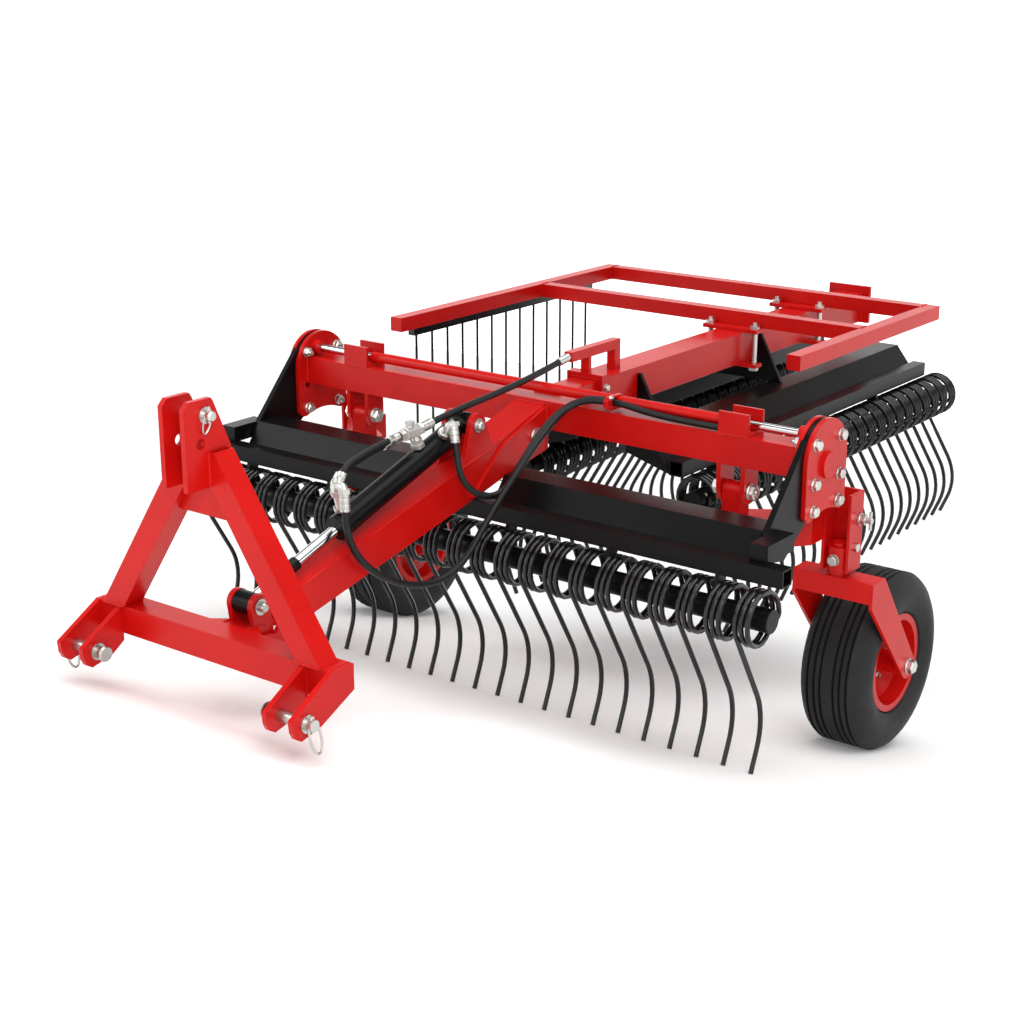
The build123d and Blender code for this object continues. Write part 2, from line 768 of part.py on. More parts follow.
# Strap that holds two hoses to the pipe: the front hose ends on its face, the base hose goes through
strap_x, strap_y, strap_z = HOSE_FRONT[-1]
strap_low = min(strap_z - HOSE_D / 2, pipe_z - PIPE_D / 2) - STRAP_EDGE
strap_top = max(strap_z + HOSE_D / 2, pipe_z + PIPE_D / 2) + STRAP_EDGE
strap_front = strap_y - HOSE_D / 2 - STRAP_EDGE
strap_back = PIPE_Y + PIPE_D / 2 + STRAP_EDGE
with BuildPart() as pipe_strap:
    plate_x(
        [
            (strap_front, strap_low + 12),
            (strap_front + 10, strap_low),
            (strap_back - 10, strap_low),
            (strap_back, strap_low + 12),
            (strap_back, strap_top - 12),
            (strap_back - 10, strap_top),
            (strap_front + 10, strap_top),
            (strap_front, strap_top - 12),
        ],
        strap_x,
        strap_x + STRAP_L,
    )
    rod_x(strap_x, strap_x + STRAP_L, PIPE_Y, pipe_z, PIPE_D, Mode.SUBTRACT)
    rod_x(strap_x, strap_x + STRAP_L, HOSE_BASE[10][1], HOSE_BASE[10][2] - 2, HOSE_D + 6, Mode.SUBTRACT)
keep(pipe_strap, "pipe_strap")

# End plates with round tops, an inner and an outer one on each side of the hood arm
arm_in = BEAM_HALF + END_PLATE
arm_out = arm_in + ARM_PLATE


def bolt_holes(x0, x1):
    """The six bolt holes through the end plates and the hood arm."""
    for y in (END_Y - BOLT_PITCH / 2, END_Y + BOLT_PITCH / 2):
        for z in BOLT_ROWS:
            rod_x(x0, x1, y, z, BOLT_HOLE_D, Mode.SUBTRACT)


def end_plate_shape(x0, x1):
    """A plate with a round top, clipped lower corners and a shallow hollow between them."""
    chord = 0.7 * END_R
    hollow_r = (chord**2 + END_HOLLOW**2) / (2 * END_HOLLOW)
    plate_x(
        [
            (END_Y - END_R, END_ARC_Z),
            (END_Y - END_R, END_LOW + END_CORNER),
            (END_Y - END_R + END_CORNER, END_LOW),
            (END_Y + END_R - END_CORNER, END_LOW),
            (END_Y + END_R, END_LOW + END_CORNER),
            (END_Y + END_R, END_ARC_Z),
        ],
        x0,
        x1,
    )
    rod_x(x0, x1, END_Y, END_ARC_Z, 2 * END_R)
    rod_x(x0, x1, END_Y, END_LOW + END_HOLLOW - hollow_r, 2 * hollow_r, Mode.SUBTRACT)
    bolt_holes(x0, x1)


with BuildPart() as end_plates_inner:
    for side in (-1, 1):
        end_plate_shape(*span(BEAM_HALF, arm_in, side))
        collar = span(BEAM_HALF - COLLAR_L, BEAM_HALF, side)
        rod_x(*collar, PIPE_Y, pipe_z, COLLAR_D)
        rod_x(*collar, PIPE_Y, pipe_z, PIPE_ROD_D + 2 * PIN_RUN, Mode.SUBTRACT)
keep(end_plates_inner, "end_plates_inner")

with BuildPart() as end_plates_outer:
    for side in (-1, 1):
        end_plate_shape(*span(arm_out, arm_out + END_PLATE, side))
        rod_x(*span(arm_out + END_PLATE, arm_out + END_PLATE + BOSS_T, side), END_Y, BOSS_Z, BOSS_D)
keep(end_plates_outer, "end_plates_outer")

# One spring tine in its own plane: three turns of wire around Z, a leaning leg that bends back at
# its tip, and a spoke that ends on the bar's pad
lean = radians(LEG_LEAN)
curl = radians(TIP_CURL)
leg_start = (-COIL_R * cos(lean), -COIL_R * sin(lean))
bend_start = (leg_start[0] + LEG_RUN * sin(lean), leg_start[1] - LEG_RUN * cos(lean))
bend_end = (
    bend_start[0] + BEND_R * (cos(curl) - cos(lean)),
    bend_start[1] - BEND_R * (sin(lean) + sin(curl)),
)
tip = (bend_end[0] - TIP_RUN * sin(curl), bend_end[1] - TIP_RUN * cos(curl))
with BuildPart() as tine:
    with BuildSketch(Plane.XZ) as turns:
        with Locations(*[(COIL_R, k * WIRE_STEP) for k in (-1, 0, 1)]):
            Circle(WIRE_D / 2)
    revolve(turns.sketch, axis=Axis.Z)
    with BuildLine(Plane.XY.offset(-WIRE_STEP)) as leg:
        run = Line(leg_start, bend_start)
        TangentArc(bend_start, bend_end, tangent=run % 1)
        Line(bend_end, tip)
    with BuildSketch(Plane(origin=leg.line @ 0, z_dir=leg.line % 0)) as wire:
        Circle(LEG_D / 2)
    sweep(wire.sketch, path=leg.line)
    with BuildSketch(Plane.YZ.offset(PAD_OUT)) as spoke:
        Circle(SPOKE_D / 2)
    extrude(spoke.sketch, amount=COIL_R - PAD_OUT)


def tine_row(places):
    """Copies of the tine, each on its own plane."""
    with Locations(*[place.location for place in places]):
        add(tine.part)


def bar_section(plane_at, start, end, pads, hangers, lip_middle):
    """A tine bar with a pad for each tine, hangers up to the lip tube and closed ends."""
    with BuildSketch(plane_at(start)) as ring:
        Circle(BAR_D / 2)
    extrude(ring.sketch, amount=end - start)
    for at in pads:
        slab(
            plane_at(at - PAD_W / 2),
            [(0, -PAD_H / 2), (PAD_OUT, -PAD_H / 2), (PAD_OUT, PAD_H / 2), (0, PAD_H / 2)],
            PAD_W,
        )
    for at in hangers:
        half = LIP / 2 - 3
        slab(
            plane_at(at - HANGER / 2),
            [
                (-half, 0),
                (half, 0),
                (lip_middle + half, LIP_LIFT),
                (lip_middle - half, LIP_LIFT),
            ],
            HANGER,
        )
    with BuildSketch(plane_at(start + BAR_WALL)) as bore:
        Circle(BAR_D / 2 - BAR_WALL)
    extrude(bore.sketch, amount=end - start - 2 * BAR_WALL, mode=Mode.SUBTRACT)


lip_back = LIP_IN + LIP
hood_outside = [
    (FLAT_IN, HOOD_LIFT - SKIRT),
    (FLAT_IN, HOOD_LIFT),
    (RIDGE_IN, HOOD_LIFT),
    (lip_back, FACE_LIFT),
]
hood_inside = [
    (lip_back, FACE_LIFT - 1.6 * SHEET),
    (RIDGE_IN + 0.45 * SHEET, HOOD_LIFT - SHEET),
    (FLAT_IN - SHEET, HOOD_LIFT - SHEET),
    (FLAT_IN - SHEET, HOOD_LIFT - SKIRT),
]


def hood_section(plane, length, lip_over):
    """A bent sheet with a skirt, a flat top and a sloped face that ends on a lip tube. It runs along
    the plane's normal; the plane's x points from the coil's centre to the skirt and its y upwards."""
    slab(plane, hood_outside + hood_inside, length)
    with BuildSketch(plane.offset(-lip_over)) as lip:
        with Locations((LIP_IN + LIP / 2, LIP_LIFT + LIP / 2)):
            Rectangle(LIP, LIP)
            Rectangle(LIP - 2 * LIP_WALL, LIP - 2 * LIP_WALL, mode=Mode.SUBTRACT)
    extrude(lip.sketch, amount=length + 2 * lip_over)


# Front row
front_xs = [(k - (FRONT_COUNT - 1) / 2) * FRONT_PITCH for k in range(FRONT_COUNT)]
front_half = front_xs[-1] + BAR_OVERHANG
hood_top = COIL_Z + HOOD_LIFT
lip_top = COIL_Z + LIP_LIFT + LIP


def front_plane(x):
    """The front row's section plane at x, its x to the rear and its y upwards."""
    return Plane(origin=(x, FRONT_COIL_Y, COIL_Z), x_dir=(0, 1, 0), z_dir=(1, 0, 0))


with BuildPart() as front_tines:
    tine_row([front_plane(x) for x in front_xs])
keep(front_tines, "front_tines")

with BuildPart() as front_tine_bar:
    hanger_xs = [(front_xs[k] + front_xs[k + 1]) / 2 for k in range(1, FRONT_COUNT - 1, 4)]
    bar_section(front_plane, -front_half, front_half, front_xs, hanger_xs, LIP_IN + LIP / 2)
keep(front_tine_bar, "front_tine_bar")

with BuildPart() as front_hood:
    hood_section(front_plane(-arm_in), 2 * arm_in, LIP_HALF - arm_in)
    block((-NOTCH_HALF, FRONT_COIL_Y, lip_top), (NOTCH_HALF, 0, hood_top), Mode.SUBTRACT)
keep(front_hood, "front_hood")

# Hood arms: plates between the end plates that reach forward to the ends of the front hood, each
# with a foot on the lip tube
ridge_y = FRONT_COIL_Y + RIDGE_IN
skirt_y = FRONT_COIL_Y + FLAT_IN
foot_y = FRONT_COIL_Y + LIP_IN + LIP / 2
with BuildPart() as hood_arms:
    for side in (-1, 1):
        x0, x1 = span(arm_in, arm_out, side)
        rod_x(x0, x1, END_Y, END_ARC_Z, 2 * END_R - 10)
        plate_x(
            [
                (END_Y + END_R - 5, END_ARC_Z),
                (END_Y + END_R - 5, END_LOW + 28),
                (0, END_LOW + 4),
                (skirt_y, lip_top - 50),
                (foot_y + 65, lip_top - 28),
                (ridge_y, hood_top - 3),
                (END_Y - 0.87 * END_R, END_ARC_Z + 0.62 * END_R),
                (END_Y, END_ARC_Z),
            ],
            x0,
            x1,
        )
        bolt_holes(x0, x1)
        x0, x1 = span(arm_out, arm_out + FOOT_W, side)
        block((x0, foot_y, lip_top), (x1, foot_y + FOOT_L, lip_top + FOOT_H))
keep(hood_arms, "hood_arms")

# Rear rows, left and right of the middle beam
rear_ys = [REAR_FIRST_Y + k * REAR_PITCH for k in range(REAR_COUNT)]


def rear_plane(y, side, way):
    """A rear row's section plane at y. Its x points out where way is 1 and in where it is -1."""
    turn = side * way
    return Plane(origin=(side * REAR_COIL_X, y, COIL_Z), x_dir=(turn, 0, 0), z_dir=(0, -turn, 0))


def bar_plane(distance, side):
    """A rear tine bar's section plane, at a distance along its normal."""
    return rear_plane(-side * distance, side, 1)


for side, word in ((-1, "left"), (1, "right")):
    with BuildPart() as rear_tines:
        tine_row([rear_plane(y, side, 1) for y in rear_ys])
    keep(rear_tines, f"rear_tines_{word}")

with BuildPart() as rear_tine_bars:
    for side in (-1, 1):
        marks = sorted(-side * y for y in rear_ys)
        bar_section(
            lambda distance: bar_plane(distance, side),
            marks[0] - BAR_OVERHANG,
            marks[-1] + BAR_OVERHANG,
            marks,
            [-side * (y + REAR_PITCH / 2) for y in rear_ys[1 : REAR_COUNT - 3 : 5]],
            -LIP_IN - LIP / 2,
        )
keep(rear_tine_bars, "rear_tine_bars")

with BuildPart() as rear_hoods:
    hood_length = REAR_HOOD_Y1 - REAR_HOOD_Y0
    cap_outline = hood_outside + [(lip_back, FACE_LIFT - 1.6 * SHEET)]
    for side in (-1, 1):
        start = rear_plane(REAR_HOOD_Y0 if side > 0 else REAR_HOOD_Y1, side, -1)
        hood_section(start, hood_length, 0)
        slab(start, cap_outline, CAP)
        slab(start.offset(hood_length - CAP), cap_outline, CAP)
keep(rear_hoods, "rear_hoods")

# Middle beam: a stub on the front beam, the beam over it with a collar at its front end and a plate
# on its rear end
mid_low = MID_TOP - MID_W
mid_z = MID_TOP - MID_W / 2
with BuildPart() as middle_stub:
    half = MID_W / 2 - MID_WALL - STUB_RUN
    block((-half, BEAM, mid_z - half), (half, STUB_END_Y, mid_z + half))
    half = half - MID_WALL
    block((-half, BEAM, mid_z - half), (half, STUB_END_Y, mid_z + half), Mode.SUBTRACT)
keep(middle_stub, "middle_stub")

with BuildPart() as middle_beam:
    block((-MID_W / 2, MID_Y0, mid_low), (MID_W / 2, MID_Y1, MID_TOP))
    half = MID_W / 2 - MID_WALL
    block((-half, MID_Y0, mid_z - half), (half, MID_Y1, mid_z + half), Mode.SUBTRACT)
keep(middle_beam, "middle_beam")

# Collar around the beam's front end, with a bar over it that holds the hoses
with BuildPart() as beam_collar:
    half = MID_W / 2 + COLLAR_T
    block((-half, COLLAR_Y0, mid_z - half), (half, COLLAR_Y1, mid_z + half))
    block((-MID_W / 2, COLLAR_Y0, mid_low), (MID_W / 2, COLLAR_Y1, MID_TOP), Mode.SUBTRACT)
    half = HOSE_BAR / 2
    block((-half, HOSE_BAR_Y0, HOSE_BAR_LOW), (half, HOSE_BAR_Y1, HOSE_BAR_LOW + HOSE_BAR))
    block((-half, COLLAR_Y0, MID_TOP + COLLAR_T), (half, COLLAR_Y0 + half, HOSE_BAR_LOW))
    block((-half, HOSE_BAR_Y1 - HOSE_BAR, MID_TOP), (half, HOSE_BAR_Y1, HOSE_BAR_LOW))
keep(beam_collar, "beam_collar")

with BuildPart() as tail_plate:
    tail_top = MID_TOP + TAIL_RISE
    block((-TAIL_W / 2, MID_Y1, tail_top - TAIL_H), (TAIL_W / 2, MID_Y1 + TAIL_PLATE, tail_top))
keep(tail_plate, "tail_plate")

# Yokes: plates around the middle beam's underside that stand on the flat tops of the rear hoods
with BuildPart() as rear_yokes:
    for y in YOKE_YS:
        plate_y(
            [
                (-YOKE_FOOT, hood_top),
                (YOKE_FOOT, hood_top),
                (MID_W / 2 + 10, YOKE_TOP_Z),
                (MID_W / 2, YOKE_TOP_Z),
                (MID_W / 2, mid_low),
                (-MID_W / 2, mid_low),
                (-MID_W / 2, YOKE_TOP_Z),
                (-MID_W / 2 - 10, YOKE_TOP_Z),
            ],
            y - YOKE / 2,
            y + YOKE / 2,
        )
keep(rear_yokes, "rear_yokes")

# Upper frame of square tubes, clamped on the middle beam
frame_low = MID_TOP + CLAMP_PLATE
frame_top = frame_low + FRAME_TUBE
frame_back = CROSS_MEMBER_YS[1] + FRAME_TUBE
with BuildPart() as frame_members:
    for x0, y0 in ((FRAME_LEFT, FRAME_Y_LEFT), (FRAME_RIGHT - FRAME_TUBE, FRAME_Y_RIGHT)):
        block((x0, y0, frame_low), (x0 + FRAME_TUBE, frame_back, frame_top))
        block(
            (x0 + FRAME_WALL, y0 + FRAME_WALL, frame_low + FRAME_WALL),
            (x0 + FRAME_TUBE - FRAME_WALL, frame_back - FRAME_WALL, frame_top - FRAME_WALL),
            Mode.SUBTRACT,
        )
keep(frame_members, "frame_members")

with BuildPart() as frame_crosses:
    for y0 in CROSS_MEMBER_YS:
        x0 = FRAME_LEFT + FRAME_TUBE
        x1 = FRAME_RIGHT - FRAME_TUBE
        block((x0, y0, frame_low), (x1, y0 + FRAME_TUBE, frame_top))
        block(
            (x0, y0 + FRAME_WALL, frame_low + FRAME_WALL),
            (x1, y0 + FRAME_TUBE - FRAME_WALL, frame_top - FRAME_WALL),
            Mode.SUBTRACT,
        )
keep(frame_crosses, "frame_crosses")

with BuildPart() as frame_clamps:
    for cross_y in CROSS_MEMBER_YS:
        y1 = cross_y + FRAME_TUBE
        y0 = y1 - CLAMP_DEPTH
        strap_low = mid_low - CLAMP_PLATE
        block((-CLAMP_HALF, y0, MID_TOP), (CLAMP_HALF, y1, frame_low))
        block((-CLAMP_HALF, y0, strap_low), (CLAMP_HALF, y0 + STRAP_W, mid_low))
        for x in (-CLAMP_BOLT_X, CLAMP_BOLT_X):
            bolt_y = y0 + STRAP_W / 2
            rod_z(x, bolt_y, strap_low - BOLT_HEAD_H, frame_low + BOLT_HEAD_H, CLAMP_BOLT_D)
            rod_z(x, bolt_y, strap_low - BOLT_HEAD_H, strap_low, BOLT_HEAD_D)
            rod_z(x, bolt_y, frame_low, frame_low + BOLT_HEAD_H, BOLT_HEAD_D)
keep(frame_clamps, "frame_clamps")

comb_x = FRAME_LEFT + FRAME_TUBE / 2
comb_ys = [COMB_FIRST_Y + k * COMB_PITCH for k in range(COMB_COUNT)]
with BuildPart() as comb:
    comb_low = frame_low - COMB_BAR
    block(
        (comb_x - COMB_BAR / 2, comb_ys[0] - COMB_BAR, comb_low),
        (comb_x + COMB_BAR / 2, comb_ys[-1] + COMB_BAR, frame_low),
    )
    for y in comb_ys:
        rod_z(comb_x, y, comb_low - COMB_L, comb_low, COMB_WIRE_D)
keep(comb, "comb")

# Wheel carriers: a clevis under the beam, an arm on its bush and a channel post with the kingpin's
# sleeve
post_y0 = KINGPIN_Y - POST_FRONT
post_y1 = KINGPIN_Y + POST_BACK
post_in = WHEEL_X - POST_W / 2
with BuildPart() as wheel_clevises:
    ear_foot = [
        (0, BUSH_Z),
        (EAR_Y1, BUSH_Z),
        (BUSH_Y + 20, BUSH_Z - 30),
        (BUSH_Y - 20, BUSH_Z - 30),
    ]
    for side in (-1, 1):
        for x_in in (BUSH_X - BUSH_GAP / 2 - BUSH_EAR, BUSH_X + BUSH_GAP / 2):
            x0, x1 = span(x_in, x_in + BUSH_EAR, side)
            block((x0, 0, BUSH_Z), (x1, EAR_Y1, beam_low))
            plate_x(ear_foot, x0, x1)
        reach = BUSH_GAP / 2 + BUSH_EAR + 12
        rod_x(*span(BUSH_X - reach, BUSH_X + reach, side), BUSH_Y, BUSH_Z, BUSH_BOLT_D)
keep(wheel_clevises, "wheel_clevises")

with BuildPart() as wheel_arms:
    plan = [
        (ARM_INSIDE, -5),
        (ARM_INSIDE + 90, -5),
        (post_in, post_y0 - 58),
        (post_in, post_y1 - 8),
        (post_in - 50, post_y1 - 8),
        (post_in - 50, post_y0 - 23),
        (ARM_INSIDE, 60),
    ]
    for side in (-1, 1):
        x0, x1 = span(BUSH_X - BUSH_L / 2, BUSH_X + BUSH_L / 2, side)
        rod_x(x0, x1, BUSH_Y, BUSH_Z, BUSH_D)
        block((x0, BUSH_Y - BUSH_D / 2, ARM_LOW), (x1, BUSH_Y + BUSH_D / 2, BUSH_Z))
        slab(Plane.XY.offset(ARM_LOW), [(side * x, y) for x, y in plan][::side], ARM_H)
        rod_x(x0, x1, BUSH_Y, BUSH_Z, BUSH_BOLT_D, Mode.SUBTRACT)
keep(wheel_arms, "wheel_arms")

with BuildPart() as wheel_posts:
    for side in (-1, 1):
        x0, x1 = span(post_in, post_in + POST_W, side)
        block((x0, post_y0, POST_LOW), (x1, post_y1, POST_TOP))
        block(
            (x0 + POST_PLATE, post_y0, POST_LOW),
            (x1 - POST_PLATE, post_y1 - POST_PLATE, POST_TOP),
            Mode.SUBTRACT,
        )
        rod_z(side * WHEEL_X, KINGPIN_Y, POST_LOW, POST_LOW + SLEEVE_L, SLEEVE_D)
        rod_z(side * WHEEL_X, KINGPIN_Y, POST_LOW, POST_LOW + SLEEVE_L, KINGPIN_D, Mode.SUBTRACT)
keep(wheel_posts, "wheel_posts")

# Casters: a kingpin on a fork, with the axle through the fork's ends
fork_in = TYRE_W / 2 + FORK_RUN
fork_out = fork_in + FORK_PLATE
fork_y0 = KINGPIN_Y - FORK_DEPTH / 2
fork_y1 = KINGPIN_Y + FORK_DEPTH / 2
fork_lean = atan2(AXLE_Y - KINGPIN_Y, FORK_TOP - FORK_H / 2 - TYRE_R)
for side, word in ((-1, "left"), (1, "right")):
    middle = side * WHEEL_X
    with BuildPart() as fork:
        block((middle - fork_out, fork_y0, FORK_TOP - FORK_H), (middle + fork_out, fork_y1, FORK_TOP))
        rod_z(middle, KINGPIN_Y, FORK_TOP, POST_LOW - SWIVEL_RUN, SHOULDER_D)
        rod_z(middle, KINGPIN_Y, FORK_TOP, POST_LOW + SLEEVE_L + 10, KINGPIN_D - 2 * PIN_RUN)
        for inside in (-fork_out, fork_in):
            x0 = middle + inside
            plate_x(
                [
                    (fork_y0, FORK_TOP),
                    (fork_y1, FORK_TOP),
                    (AXLE_Y + FORK_END_R * cos(fork_lean), TYRE_R + FORK_END_R * sin(fork_lean)),
                    (AXLE_Y - FORK_END_R * cos(fork_lean), TYRE_R - FORK_END_R * sin(fork_lean)),
                    (fork_y0, FORK_TOP - 1.2 * FORK_H),
                ],
                x0,
                x0 + FORK_PLATE,
            )
            rod_x(x0, x0 + FORK_PLATE, AXLE_Y, TYRE_R, 2 * FORK_END_R)
        rod_x(middle - fork_out, middle + fork_out, AXLE_Y, TYRE_R, AXLE_D, Mode.SUBTRACT)
    keep(fork, f"fork_{word}")
    with BuildPart() as axle:
        rod_x(middle - fork_out - AXLE_NUT, middle + fork_out + AXLE_NUT, AXLE_Y, TYRE_R, AXLE_D)
    keep(axle, f"axle_{word}")
    section = Plane(origin=(middle, AXLE_Y, TYRE_R), x_dir=(1, 0, 0), z_dir=(0, -1, 0))
    wheel_axis = Axis((middle, AXLE_Y, TYRE_R), (1, 0, 0))
    half = TYRE_W / 2
    tyre_half = [
        (RIM_W / 2, RIM_R),
        (RIM_W / 2, RIM_R + RIM_FLANGE),
        (half - 6, RIM_R + 36),
        (half, 0.73 * TYRE_R),
        (half - 7, 0.86 * TYRE_R),
        (half - 26, 0.965 * TYRE_R),
        (half - 52, TYRE_R),
    ]
    rim_half = [
        (HUB_HALF, AXLE_D / 2 + PIN_RUN),
        (HUB_HALF, HUB_D / 2),
        (12, HUB_D / 2),
        (12, RIM_R - 34),
        (38, RIM_R - 2 * RIM_SHEET),
        (RIM_W / 2 + RIM_SHEET, RIM_R - RIM_SHEET),
        (RIM_W / 2 + RIM_SHEET, RIM_R + RIM_FLANGE),
        (RIM_W / 2, RIM_R + RIM_FLANGE),
        (RIM_W / 2, RIM_R),
    ]
    with BuildPart() as tyre:
        with BuildSketch(section) as profile:
            with BuildLine():
                Polyline(*tyre_half, *[(-x, r) for x, r in reversed(tyre_half)], close=True)
            make_face()
        revolve(profile.sketch, axis=wheel_axis)
    keep(tyre, f"tyre_{word}")
    with BuildPart() as rim:
        with BuildSketch(section) as profile:
            with BuildLine():
                Polyline(*rim_half, *[(-x, r) for x, r in reversed(rim_half)], close=True)
            make_face()
        revolve(profile.sketch, axis=wheel_axis)
    keep(rim, f"rim_{word}")

# The unhitched rake pitches about its axles until the lowest corners of the front tips touch down
corner_y = FRONT_COIL_Y + tip[0] + LEG_D / 2 * cos(curl)
corner_z = COIL_Z + tip[1] - LEG_D / 2 * sin(curl)
reach = hypot(AXLE_Y - corner_y, TYRE_R - corner_z)
pitch = degrees(asin(TYRE_R / reach) - atan2(TYRE_R - corner_z, AXLE_Y - corner_y))
park = Pos(0, 0, TYRE_R) * Rot(pitch, 0, 0) * Pos(0, -AXLE_Y, -TYRE_R)

# The origin is on the floor, below the middle of the whole machine
boxes = [(park * piece).bounding_box() for piece in pieces]
front_y = min(box.min.Y for box in boxes)
rear_y = max(box.max.Y for box in boxes)
park = Pos(0, -(front_y + rear_y) / 2, 0) * park
print(f"pitch {pitch:.6f} degrees, shift {-(front_y + rear_y) / 2:.6f} mm")
for piece in pieces:
    placed = park * piece
    placed.label = piece.label
    export_step(placed, f"parts/{piece.label}.step")
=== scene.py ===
# %% [markdown]
# # A mounted spring-tine hay rake
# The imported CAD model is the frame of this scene, and its shapes stay as they are. This script paints
# them and adds what CAD leaves out: wound tines, ribbed tyres, bolts, pins, clips, hoses and welds.

# %% Load the frame
import json
from math import atan2, cos, degrees, pi, radians, sin, sqrt

import bmesh
import bpy
from mathutils import Matrix, Vector


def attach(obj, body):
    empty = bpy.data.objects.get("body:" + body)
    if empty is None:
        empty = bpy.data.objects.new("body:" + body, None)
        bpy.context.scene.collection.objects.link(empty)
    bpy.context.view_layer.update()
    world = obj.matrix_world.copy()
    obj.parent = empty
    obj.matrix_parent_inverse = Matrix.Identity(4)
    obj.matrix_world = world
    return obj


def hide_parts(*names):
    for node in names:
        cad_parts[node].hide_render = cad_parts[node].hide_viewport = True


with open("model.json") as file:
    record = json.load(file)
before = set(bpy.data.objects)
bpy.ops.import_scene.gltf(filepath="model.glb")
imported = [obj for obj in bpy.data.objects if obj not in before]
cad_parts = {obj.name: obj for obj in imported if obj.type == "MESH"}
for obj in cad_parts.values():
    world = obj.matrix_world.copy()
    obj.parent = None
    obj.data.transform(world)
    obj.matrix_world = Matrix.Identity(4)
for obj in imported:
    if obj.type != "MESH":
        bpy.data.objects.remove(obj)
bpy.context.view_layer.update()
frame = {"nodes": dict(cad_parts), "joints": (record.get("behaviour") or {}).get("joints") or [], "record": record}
nodes = frame["nodes"]
joints = {joint["name"]: joint for joint in frame["joints"]}

# %% [markdown]
# ## Level places, parked machine
# The machine was measured standing level, in millimetres, with its wheels on the floor. Unhitched, it
# leans forward about its axles until its front tines touch. Each place could be turned by hand, but
# then none could be read off the level machine. The wheel joint gives the axle's parked place, and
# the caster's axis gives the pitch, so one matrix takes any level place to its parked one.

# %% The parking matrix
MM_PER_M = 1000
AXLE_Y, TYRE_R, WHEEL_X = 445, 254, 855
SIDES = ((-1, "left"), (1, "right"))
lean_y, lean_z = joints["caster_left"]["axis"][1:]
PITCH = atan2(-lean_y, lean_z)
axle = Vector(joints["wheel_left"]["pos_m"])
PARK = (
    Matrix.Translation((0, axle.y, axle.z))
    @ Matrix.Rotation(PITCH, 4, "X")
    @ Matrix.Translation((0, -AXLE_Y / MM_PER_M, -TYRE_R / MM_PER_M))
)
print("pitch", round(degrees(PITCH), 3), "degrees")

# %% [markdown]
# ## Camera
# The photograph shows the machine from its front right, a little from above. A camera can be pushed
# about until the picture looks right. Here known sizes on the hitch, the beam and the tyre fixed its
# place, its direction and its focal length instead, so that it can be trusted for measuring. They
# were found for the level machine, so the parking matrix turns the camera too.

# %% Camera
PHOTO_SIDE_PX, FOCAL_PX, SENSOR_MM, SIGHT_M = 1024, 1797.52, 36, 200
AZIMUTH, ELEVATION = radians(37.382), radians(17.727)
LEVEL_CAMERA = Vector((2.8971, -3.8738, 2.1702))


def add_object(name, data):
    """A new object in the scene, at the origin."""
    made = bpy.data.objects.new(name, data)
    bpy.context.scene.collection.objects.link(made)
    return made


camera_data = bpy.data.cameras.new("camera")
camera_data.sensor_width = SENSOR_MM
camera_data.lens = FOCAL_PX * SENSOR_MM / PHOTO_SIDE_PX
camera_data.clip_end = SIGHT_M
camera = add_object("camera", camera_data)
right = Vector((cos(AZIMUTH), sin(AZIMUTH), 0))
back = Vector((sin(AZIMUTH) * cos(ELEVATION), -cos(AZIMUTH) * cos(ELEVATION), sin(ELEVATION)))
level_view = Matrix((right, back.cross(right), back)).transposed().to_4x4()
level_view.translation = LEVEL_CAMERA
camera.matrix_world = PARK @ level_view
bpy.context.scene.camera = camera
print("camera", [round(v, 3) for v in camera.matrix_world.translation])

# %% [markdown]
# ## Material helpers
# Paint, zinc, chrome and rubber differ in colour, gloss and grain. A picture could be wrapped round
# each piece, but noise in object space needs no unwrapping and stays put when a piece moves. So each
# material is one small node tree: wide patches shift the colour, narrower ones shift the gloss, and a
# fine grain bumps the surface. Pattern sizes are in millimetres. Real orange peel and grit are often
# finer than a pixel here, so each grain is drawn a few millimetres wide, just coarse enough to show.
# A small bevel in the shading rounds the CAD's sharp edges.

# %% Colours and nodes


def linear(code):
    """A hex sRGB colour as linear RGBA."""
    channels = [int(code[k : k + 2], 16) / 255 for k in (0, 2, 4)]
    return [c / 12.92 if c <= 0.04045 else ((c + 0.055) / 1.055) ** 2.4 for c in channels] + [1]


def put(tree, kind, inputs=(), **settings):
    """Add a node with its own settings. Each input is a value or another node's output."""
    node = tree.nodes.new(kind)
    for name, value in settings.items():
        setattr(node, name, value)
    for name, value in dict(inputs).items():
        if isinstance(value, bpy.types.NodeSocket):
            tree.links.new(value, node.inputs[name])
        else:
            node.inputs[name].default_value = value
    return node


WHITE = linear("ffffff")
print("white is", WHITE)

# %% One finish
PATCH_MM, PATCH_DETAIL, PATCH_STOPS = 140, 4, (0.35, 0.65)
SHEEN_MM, SHEEN_DETAIL = 45, 5
GRAIN_DETAIL, GRAIN_DEPTH_M = 2, 0.001
BEVEL_SAMPLES = 4


